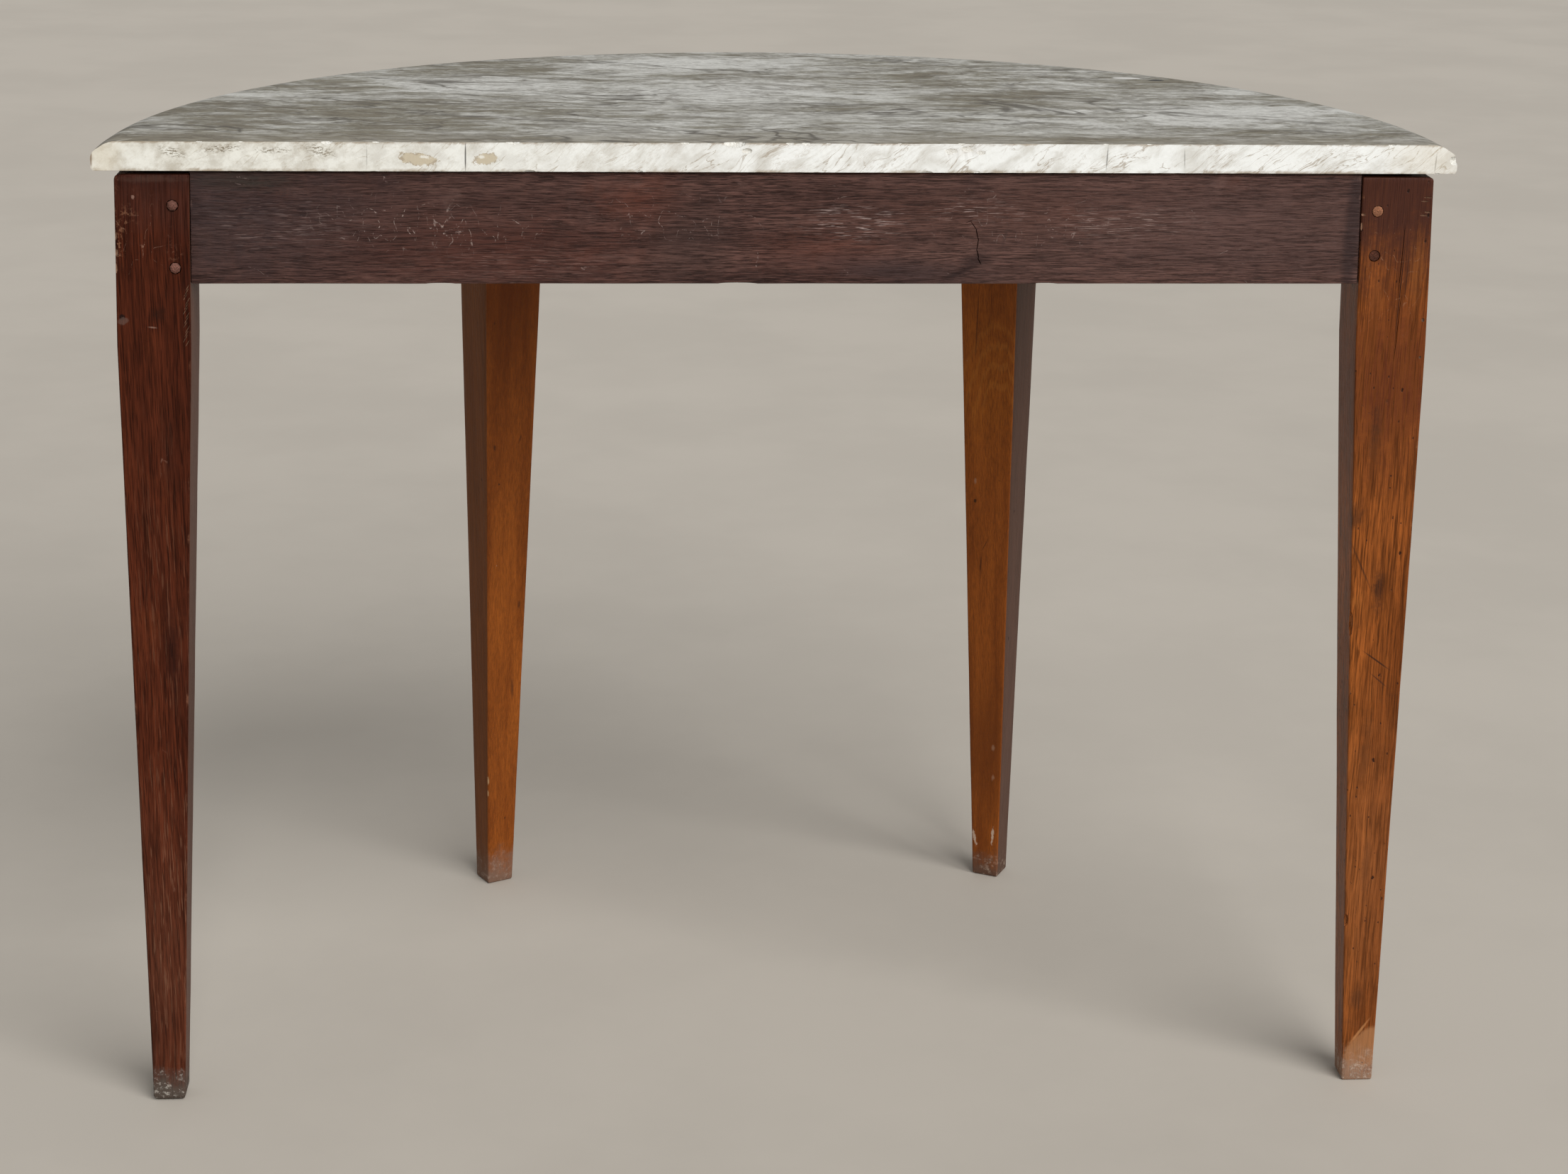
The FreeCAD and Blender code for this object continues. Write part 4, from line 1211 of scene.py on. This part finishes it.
def tapered_leg(name, head_low, head_high, foot_low, foot_high, sizes, foot_round, top_round, round_side,
                lean=0.0):
    """A square leg with a straight head, which may lean sideways, that tapers to its foot."""
    leg = block(name, head_low, head_high)
    pick(leg, "FACE", lambda face: face.normal.z < -0.9)
    bpy.ops.transform.translate(value=(lean, 0.0, 0.0))
    bpy.ops.mesh.extrude_region_move(TRANSFORM_OT_translate={"value": (0.0, 0.0, -head_low[2])})
    middle = Vector(((head_low[0] + head_high[0]) / 2 + lean, (head_low[1] + head_high[1]) / 2, 0.0))
    shrink = (foot_high[0] - foot_low[0]) / (head_high[0] - head_low[0])
    bpy.ops.transform.resize(value=(shrink, shrink, 1.0), center_override=middle)
    foot = Vector(((foot_low[0] + foot_high[0]) / 2, (foot_low[1] + foot_high[1]) / 2, 0.0))
    bpy.ops.transform.translate(value=foot - middle)
    shape = bmesh.from_edit_mesh(leg.data)
    weight = shape.edges.layers.float.new("bevel_weight_edge")
    widest = max(foot_round, top_round)
    outer = max(head_low[0] * round_side, head_high[0] * round_side)
    for edge in filter(is_corner, shape.edges):
        halfway = (edge.verts[0].co + edge.verts[1].co) / 2
        if halfway.z < 10 * NEAR:
            edge[weight] = foot_round / widest
        elif halfway.z > head_high[2] - NEAR and halfway.x * round_side > outer - NEAR:
            edge[weight] = top_round / widest
        else:
            edge[weight] = sizes.leg_arris / widest
    bmesh.update_edit_mesh(leg.data)
    apply(leg, "BEVEL", width=widest, limit_method="WEIGHT", segments=3, affect="EDGES")
    work_on(leg)
    split(leg, lies_along(Z, 0.3), 190)
    split(leg, lies_along(Z, 0.05), 40)
    split(leg, is_level(0.012), 7)
    start()
    return leg


def peg_hole_cutters(nodes, sizes):
    """Cutters for the holes round the pegs of a leg's camera side."""
    cutters = []
    for number, node in enumerate(nodes, 1):
        low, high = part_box(node)
        start()
        bpy.ops.mesh.primitive_cylinder_add(
            vertices=20, radius=sizes.peg_hole / 2, depth=0.016, rotation=(math.pi / 2, 0.0, 0.0),
            location=((low.x + high.x) / 2, LEFT_LOW.y + 4 * NEAR, (low.z + high.z) / 2))
        cutters.append(named("peg hole"))
        take_all()
        bpy.ops.transform.vertex_random(offset=0.25 * NEAR, seed=number)
        start()
    return cutters


class TABLE_OT_back_legs(bpy.types.Operator):
    """Make the dark and the worn leg at the straight side"""
    bl_idname = "table.back_legs"
    bl_label = "Back Legs"

    def execute(self, context):
        sizes, colours = context.scene.table_sizes, context.scene.table_colours
        taper = RAIL_LOW.z - sizes.taper_drop
        section, foot = sizes.leg_section, sizes.foot_section
        y = LEFT_LOW.y
        left = tapered_leg(
            "back_left_leg_wood",
            (LEFT_HIGH.x - section, y, taper), (LEFT_HIGH.x, y + section, LEFT_HIGH.z),
            (LEFT_LOW.x, y, 0.0), (LEFT_LOW.x + foot, y + foot, 0.0),
            sizes, sizes.foot_round * 1.5, sizes.leg_top_round, -1.0, -sizes.left_lean)
        right = tapered_leg(
            "back_right_leg_wood",
            (RIGHT_LOW.x, y, taper), (RIGHT_LOW.x + section, y + section, RIGHT_HIGH.z),
            (RIGHT_HIGH.x - foot, y, 0.0), (RIGHT_HIGH.x, y + foot, 0.0),
            sizes, sizes.foot_round * 0.6, sizes.leg_top_round * 0.8, 1.0, sizes.right_lean)
        for leg in (left, right):
            roughen(leg, sizes)
        dark, painted_sheen_side, worn = dark_leg_finish(colours), dark_leg_painted_sheen_finish(), worn_leg_finish(colours)
        bare = bare_cut_finish(colours)

        # nicks that show bare wood: x, z and radii
        left_nicks = ((-0.5060, 0.7275, 0.0016, 0.0016, 0.0034), (-0.5055, 0.7150, 0.0015, 0.0015, 0.0028),
                      (-0.5065, 0.7030, 0.0012, 0.0014, 0.0040), (-0.5055, 0.7480, 0.0012, 0.0014, 0.0024))
        right_nicks = ((0.5010, 0.7590, 0.0034, 0.0014, 0.0006), (0.4985, 0.7560, 0.0030, 0.0012, 0.0006),
                       (0.5015, 0.7475, 0.0026, 0.0014, 0.0008), (0.4985, 0.7450, 0.0030, 0.0012, 0.0007),
                       (0.4505, 0.7455, 0.0024, 0.0014, 0.0010), (0.4500, 0.7360, 0.0012, 0.0014, 0.0034),
                       (0.5045, 0.6620, 0.0012, 0.0012, 0.0016), (0.5045, 0.6320, 0.0010, 0.0010, 0.0012))

        def nick_cutters(nicks):
            return [chip_cutter((x, y, z), radii, 50 + number) for number, (x, z, *radii) in enumerate(nicks)]

        left.data.materials.append(dark)
        left.data.materials.append(bare)
        cut(left, peg_hole_cutters(("left_upper_rail_peg", "left_lower_rail_peg"), sizes), dark)
        scars = nick_cutters(left_nicks)
        # short slanting cuts along the inner arris, by the rail
        scars += [slit_cutter((-0.4535 - 0.00016 * step - 0.0008 * (step % 3), y, 0.6880 - 0.0036 * step),
                              (0.00035, 0.0006, 0.0030 + 0.0007 * (step % 2)), 0.55) for step in range(13)]
        cut(left, scars, bare)
        # the inner side gets a greyer copy of the wood: painted reflection of the pale room at a glancing angle
        left.data.materials.append(painted_sheen_side)
        dress(left, len(left.data.materials) - 1, lambda face: face.normal.x > 0.9)

        right.data.materials.append(worn)
        right.data.materials.append(bare)
        # the peg holes, a drying crack from the head, a bruise on the inner arris and a notch below it
        cut(right, peg_hole_cutters(("right_upper_rail_peg", "right_lower_rail_peg"), sizes)
            + [slit_cutter((0.4838, y, 0.708), (0.0003, 0.003, 0.030), 0.025),
               slit_cutter((0.4849, y, 0.660), (0.0003, 0.003, 0.032), 0.035),
               chip_cutter((0.4635, y, 0.409), (0.004, 0.005, 0.013), 31),
               chip_cutter((0.4795, y, 0.149), (0.003, 0.003, 0.006), 32)], worn)
        cut(right, nick_cutters(right_nicks), bare)

        done(left, "frame", ["back_left_leg"], "dark leg wood")
        done(right, "frame", ["back_right_leg"], "worn leg wood")
        return {"FINISHED"}


class TABLE_OT_front_legs(bpy.types.Operator):
    """Make the two legs under the curved side"""
    bl_idname = "table.front_legs"
    bl_label = "Front Legs"

    def execute(self, context):
        sizes, colours = context.scene.table_sizes, context.scene.table_colours
        taper = RAIL_LOW.z - sizes.taper_drop
        section, foot, angle = sizes.leg_section, sizes.foot_section, sizes.front_leg_angle
        out, foot_out = AXIS.y + sizes.front_leg_reach, AXIS.y + sizes.front_foot_reach
        right = tapered_leg(
            "front_right_leg_wood",
            (-section / 2, out - section, taper), (section / 2, out, LEFT_HIGH.z),
            (-foot / 2, foot_out - foot, 0.0), (foot / 2, foot_out, 0.0),
            sizes, sizes.foot_round * 0.7, sizes.leg_arris, 1.0)
        left = twin(right, "front_left_leg_wood")
        legs = ((right, "front_right_leg", 1), (left, "front_left_leg", -1))
        for leg, node, side in legs:
            turn(leg, -side * angle)
            middle = sum((point.co for point in leg.data.vertices), Vector()) / len(leg.data.vertices)
            low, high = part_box(node)
            if not low.x < middle.x < high.x:
                raise RuntimeError(f"{leg.name} stands away from {node}")
            roughen(leg, sizes, 0.8)
        outward = Vector((math.sin(angle), math.cos(angle), 0.0))
        aside = Vector((math.cos(angle), -math.sin(angle), 0.0))

        def on_face(side, across, height):
            """A point on a leg's inner face, by its place across the face and its height."""
            share = max(1.0 - height / taper, 0.0)
            reach = sizes.front_leg_reach - section
            reach += share * (sizes.front_foot_reach - foot - sizes.front_leg_reach + section)
            point = AXIS + outward * reach + aside * across
            return point.x * side, point.y, height

        def scar_and_shade(side, tone, strength, across, height, radii, ragged, core=0.0, tilt=None):
            """A mark on a leg's inner face, a scar or a patch of painted shade; one with a tilt is turned with
            the leg.
            """
            turned = FLAT if tilt is None else (0.0, tilt, -side * angle)
            return tone, strength, on_face(side, across, height), turned, radii, ragged, core

        broad = (0.06, 0.06, 0.13)
        black, brown = (0.030, 0.010, 0.004), (0.050, 0.018, 0.008)
        bared, chalky, rubbed = (0.34, 0.20, 0.13), (0.55, 0.41, 0.31), (0.45, 0.28, 0.14)
        marks = {
            1: (scar_and_shade(1, (0.420, 0.125, 0.012), 0.50, 0.0, 0.520, broad, 1.0),
                scar_and_shade(1, (0.075, 0.017, 0.003), 0.45, 0.0, 0.150, broad, 0.8),
                scar_and_shade(1, black, 0.70, -0.011, 0.565, (0.0008, 0.01, 0.060), 0.8, 0.1, 0.05),
                scar_and_shade(1, (0.025, 0.010, 0.004), 0.85, -0.012, 0.392, (0.0018, 0.01, 0.0028), 1.2, 0.4),
                scar_and_shade(1, black, 0.85, -0.006, 0.328, (0.0008, 0.01, 0.016), 0.5, 0.2, 0.06),
                scar_and_shade(1, black, 0.65, -0.002, 0.349, (0.0007, 0.01, 0.010), 0.5, 0.2, 0.45),
                scar_and_shade(1, bared, 0.60, -0.012, 0.412, (0.0016, 0.01, 0.0040), 1.6, 0.2),
                scar_and_shade(1, bared, 0.50, 0.008, 0.140, (0.0020, 0.01, 0.0040), 1.8, 0.3),
                scar_and_shade(1, bared, 0.50, 0.008, 0.108, (0.0018, 0.01, 0.0040), 1.8, 0.3),
                scar_and_shade(1, chalky, 0.85, -0.011, 0.040, (0.0018, 0.01, 0.0110), 3.2, 0.5, -0.25),
                scar_and_shade(1, chalky, 0.85, 0.008, 0.045, (0.0016, 0.01, 0.0110), 3.2, 0.5, 0.05)),
            # the left leg's broad dark patch at its head is painted shade from the slab and the rail above it
            -1: (scar_and_shade(-1, (0.095, 0.016, 0.001), 0.50, 0.0, 0.610, broad, 0.8),
                 scar_and_shade(-1, rubbed, 0.80, 0.0158, 0.112, (0.0014, 0.01, 0.0050), 2.6, 0.4),
                 scar_and_shade(-1, rubbed, 0.80, 0.0158, 0.098, (0.0013, 0.01, 0.0040), 2.6, 0.4),
                 scar_and_shade(-1, brown, 0.60, -0.008, 0.205, (0.0018, 0.01, 0.0170), 1.0, 0.1),
                 scar_and_shade(-1, (0.035, 0.012, 0.006), 0.70, 0.016, 0.450, (0.0016, 0.01, 0.0040), 1.6, 0.3),
                 scar_and_shade(-1, brown, 0.60, -0.010, 0.455, (0.0012, 0.01, 0.0050), 1.6, 0.3, 0.3),
                 scar_and_shade(-1, (0.045, 0.015, 0.006), 0.60, -0.013, 0.290, (0.0016, 0.01, 0.0050), 1.6, 0.3))}
        arches = {1: ((0.38, 0.140, 0.026), 0.42, on_face(1, 0.010, 0.466), (0.0, 0.0, -angle),
                      (0.045, 0.060, 0.105)), -1: None}
        stain_cover = {1: 0.38, -1: 0.3}
        # flank colours: the right leg's greyer one is painted reflection, the left leg's darker one is painted
        # shade
        painted_light_flank_tones = {1: ((0.110, 0.058, 0.042), (0.085, 0.043, 0.030)),
                       -1: ((0.190, 0.066, 0.022), (0.135, 0.045, 0.014))}
        soil = {1: ((0.110, 0.068, 0.050), 0.036, 0.85, (0.36, 0.28, 0.22), 0.28),
                -1: ((0.180, 0.115, 0.085), 0.048, 0.85, (0.30, 0.22, 0.175), 0.30)}
        for leg, node, side in legs:
            called = node.replace("_", " ")
            finish = front_leg_finish(called + " wood", colours, stain_cover[side], arches[side], soil[side],
                                      marks[side])
            flank = front_leg_painted_light_flank_finish(called + " flank", *painted_light_flank_tones[side], soil[side])
            done(leg, "frame", [node], "front leg wood", finish, flank)
            # the flank faces get the copy with painted light: reflection on the right leg, shade on the left
            dress(leg, 1, lambda face: face.normal.x * side > 0.80 and face.normal.y < 0.0)
        return {"FINISHED"}


class TABLE_OT_aprons(bpy.types.Operator):
    """Make the three curved aprons between the legs"""
    bl_idname = "table.aprons"
    bl_label = "Curved Aprons"

    def execute(self, context):
        sizes, colours = context.scene.table_sizes, context.scene.table_colours
        thick = sizes.apron_outside - sizes.apron_inside
        start()
        bpy.ops.mesh.primitive_plane_add(
            size=1.0, location=(sizes.apron_inside + thick / 2, AXIS.y, (RAIL_LOW.z + RAIL_HIGH.z) / 2),
            rotation=(math.pi / 2, 0.0, 0.0))
        bpy.context.object.scale = (thick, RAIL_HIGH.z - RAIL_LOW.z, 1.0)
        ring = named("front_apron_board")
        take_all()
        bpy.ops.mesh.spin(steps=200, angle=-math.pi, center=AXIS, axis=Z)
        take_all()
        bpy.ops.mesh.remove_doubles(threshold=WELD)
        bpy.ops.mesh.normals_make_consistent(inside=False)
        start()
        if max(point.co.y for point in ring.data.vertices) < 0.0:
            raise RuntimeError("the aprons were spun to the straight side")
        half = sizes.leg_section / 2 + sizes.joint_gap
        angle = sizes.front_leg_angle
        to_left = Vector((math.cos(angle), math.sin(angle), 0.0))
        to_right = Vector((-math.cos(angle), math.sin(angle), 0.0))
        back = (Vector((0.0, LEFT_HIGH.y + sizes.joint_gap, 0.0)), Y)
        ends = {"front": [(AXIS + to_left * half, to_left), (AXIS + to_right * half, to_right)],
                "left": [(AXIS - to_left * half, -to_left), back],
                "right": [(AXIS - to_right * half, -to_right), back]}
        boards = {"front": ring, "left": twin(ring, "left_apron_board"),
                  "right": twin(ring, "right_apron_board")}
        finish = apron_finish(colours)
        for side, board in boards.items():
            work_on(board)
            for place, normal in ends[side]:
                take_all()
                bpy.ops.mesh.bisect(plane_co=place, plane_no=normal, use_fill=True, clear_inner=True)
            round_off(board, is_corner, sizes.board_arris)
            split(board, lies_along(Z, 0.05), 14)
            start()
            roughen(board, sizes, 0.6)
            done(board, "frame", [f"{side}_apron"], "apron wood", finish)
        return {"FINISHED"}


class TABLE_OT_bearer(bpy.types.Operator):
    """Make the bearer that carries the middle of the slab"""
    bl_idname = "table.bearer"
    bl_label = "Bearer"

    def execute(self, context):
        sizes, colours = context.scene.table_sizes, context.scene.table_colours
        bearer = block("bearer_board", BEARER_LOW, BEARER_HIGH)
        round_off(bearer, is_corner, sizes.board_arris)
        for direction, cuts in ((Y, 110), (X, 10), (Z, 4)):
            split(bearer, lies_along(direction, 0.015), cuts)
        start()
        roughen(bearer, sizes, 0.8)
        done(bearer, "frame", ["bearer"], "secondary wood", bearer_finish(colours))
        return {"FINISHED"}


class TABLE_OT_rail_pegs(bpy.types.Operator):
    """Make the four whittled pegs that hold the back rail"""
    bl_idname = "table.rail_pegs"
    bl_label = "Rail Pegs"

    def execute(self, context):
        colours = context.scene.table_colours
        dark = peg_finish("dark peg wood", colours.peg_dark, (0.16, 0.075, 0.045))
        rubbed = peg_finish("rubbed peg wood", colours.peg_rubbed, (0.26, 0.15, 0.12))
        light = peg_finish("light peg wood", colours.peg_light, (0.38, 0.19, 0.11))
        finishes = (rubbed, rubbed, light, dark)
        for number, (node, dome) in enumerate(PEG_DOMES.items()):
            low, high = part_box(node)
            start()
            bpy.ops.mesh.primitive_cylinder_add(
                vertices=7 if dome > NEAR else 12, radius=(high.x - low.x) / 2 * PEG_FIT, depth=high.y - low.y,
                rotation=(math.pi / 2, 0.0, 0.0), location=(low + high) / 2)
            peg = named(node + "_wood")
            take_all()
            bpy.ops.transform.rotate(value=0.4 * number, orient_axis="Y", center_override=(low + high) / 2)
            pick(peg, "FACE", lambda face: face.normal.y < -0.9)
            bpy.ops.mesh.inset(thickness=PEG_RIM)
            bpy.ops.transform.translate(value=(0.0, -max(dome, PEG_RIM / 2) * 0.35, 0.0))
            bpy.ops.mesh.inset(thickness=PEG_CROWN)
            bpy.ops.transform.translate(value=(0.0, -dome * 0.65, 0.0))
            bpy.ops.mesh.select_more()
            bpy.ops.transform.vertex_random(offset=0.22 * NEAR, seed=5 + number)
            round_off(peg, lambda edge: is_corner(edge, 0.45), PEG_ARRIS)
            start()
            mark_wear(peg)
            finish = finishes[number]
            done(peg, "frame", [node], "light peg wood" if finish == light else "dark peg wood", finish)
        return {"FINISHED"}


class TABLE_OT_apron_pegs(bpy.types.Operator):
    """Make the pegs that hold the curved aprons"""
    bl_idname = "table.apron_pegs"
    bl_label = "Apron Pegs"

    def execute(self, context):
        finish = bpy.data.materials["dark peg wood"]
        for number, node in enumerate(("front_apron_pegs", "left_apron_pegs", "right_apron_pegs")):
            start()
            pegs = bpy.data.objects.new(node + "_wood", frame["nodes"][node].data.copy())
            pegs.data.materials.clear()
            context.collection.objects.link(pegs)
            work_on(pegs)
            take_all()
            bpy.ops.mesh.remove_doubles(threshold=WELD)
            bpy.ops.mesh.dissolve_limited(angle_limit=0.02)
            round_off(pegs, is_corner, APRON_PEG_ARRIS)
            take_all()
            bpy.ops.transform.vertex_random(offset=0.12 * NEAR, seed=40 + number)
            start()
            mark_wear(pegs)
            done(pegs, "frame", [node], "dark peg wood", finish)
        return {"FINISHED"}


class TABLE_OT_stage(bpy.types.Operator):
    """Make the floor, the light and the camera"""
    bl_idname = "table.stage"
    bl_label = "Stage"

    def execute(self, context):
        scene = context.scene
        start()
        bpy.ops.mesh.primitive_plane_add(size=FLOOR_SIZE, location=(0.0, 0.0, 0.0))
        floor = named("floor")
        start()
        material, bench, place, shader = surface("plain floor")
        mottle = bench.span(bench.noise(place, 2.2, 5.0, 0.6), 0.35, 0.65, 0.97, 1.03)
        bench.feed(shader.inputs["Base Color"], bench.tint(1.0, scene.table_colours.floor, mottle, "MULTIPLY"))
        bench.feed(shader.inputs["Roughness"], 0.8)
        floor.data.materials.append(material)

        world = bpy.data.worlds.new("Soft studio")
        world.use_nodes = True
        background = world.node_tree.nodes["Background"].inputs
        background["Color"].default_value = WORLD_TONE
        background["Strength"].default_value = WORLD_STRENGTH
        scene.world = world
        bpy.ops.object.light_add(type="SUN", location=(2.0, -3.0, 3.0))
        key = bpy.context.object
        key.name = "window light"
        key.rotation_euler = SUN_TOWARD.to_track_quat("-Z", "Y").to_euler()
        key.data.energy = SUN_STRENGTH
        key.data.angle = SUN_SPREAD
        key.data.color = SUN_TONE

        level = Vector((math.sin(CAMERA_YAW), math.cos(CAMERA_YAW), 0.0))
        aside = Vector((math.cos(CAMERA_YAW), -math.sin(CAMERA_YAW), 0.0))
        forward = level * math.cos(CAMERA_PITCH) - Z * math.sin(CAMERA_PITCH)
        over = Z * math.cos(CAMERA_PITCH) + level * math.sin(CAMERA_PITCH)
        right = aside * math.cos(CAMERA_ROLL) + over * math.sin(CAMERA_ROLL)
        up = over * math.cos(CAMERA_ROLL) - aside * math.sin(CAMERA_ROLL)
        bpy.ops.object.camera_add()
        camera = bpy.context.object
        camera.name = "photo view"
        turned = Matrix((right, up, -forward)).transposed().to_4x4()
        camera.matrix_world = Matrix.Translation(CAMERA_PLACE) @ turned
        camera.data.sensor_fit = "HORIZONTAL"
        camera.data.sensor_width = CAMERA_SENSOR
        camera.data.lens = CAMERA_LENS
        scene.camera = camera
        scene.view_settings.view_transform = "Standard"
        start()
        return {"FINISHED"}


OPERATORS = (TABLE_OT_marble_slab, TABLE_OT_back_rail, TABLE_OT_back_legs, TABLE_OT_front_legs, TABLE_OT_aprons,
             TABLE_OT_bearer, TABLE_OT_rail_pegs, TABLE_OT_apron_pegs, TABLE_OT_stage)


class TABLE_PT_sidebar(bpy.types.Panel):
    """The table's sizes, colours and pieces"""
    bl_idname = "TABLE_PT_sidebar"
    bl_label = "Half-Round Table"
    bl_space_type = "VIEW_3D"
    bl_region_type = "UI"
    bl_category = "Table"

    def draw(self, context):
        for settings in (context.scene.table_sizes, context.scene.table_colours):
            for name in settings.__annotations__:
                self.layout.prop(settings, name)
        for operator in OPERATORS:
            self.layout.operator(operator.bl_idname)


CLASSES = (TableSizes, TableColours, *OPERATORS, TABLE_PT_sidebar)


def register():
    for item in CLASSES:
        bpy.utils.register_class(item)
    bpy.types.Scene.table_sizes = bpy.props.PointerProperty(type=TableSizes)
    bpy.types.Scene.table_colours = bpy.props.PointerProperty(type=TableColours)


def unregister():
    del bpy.types.Scene.table_colours
    del bpy.types.Scene.table_sizes
    for item in reversed(CLASSES):
        bpy.utils.unregister_class(item)


def main():
    register()
    make_effects()
    bpy.ops.table.marble_slab()
    bpy.ops.table.back_rail()
    bpy.ops.table.back_legs()
    bpy.ops.table.front_legs()
    bpy.ops.table.aprons()
    bpy.ops.table.bearer()
    bpy.ops.table.rail_pegs()
    bpy.ops.table.apron_pegs()
    bpy.ops.table.stage()


if __name__ == "__main__":
    main()
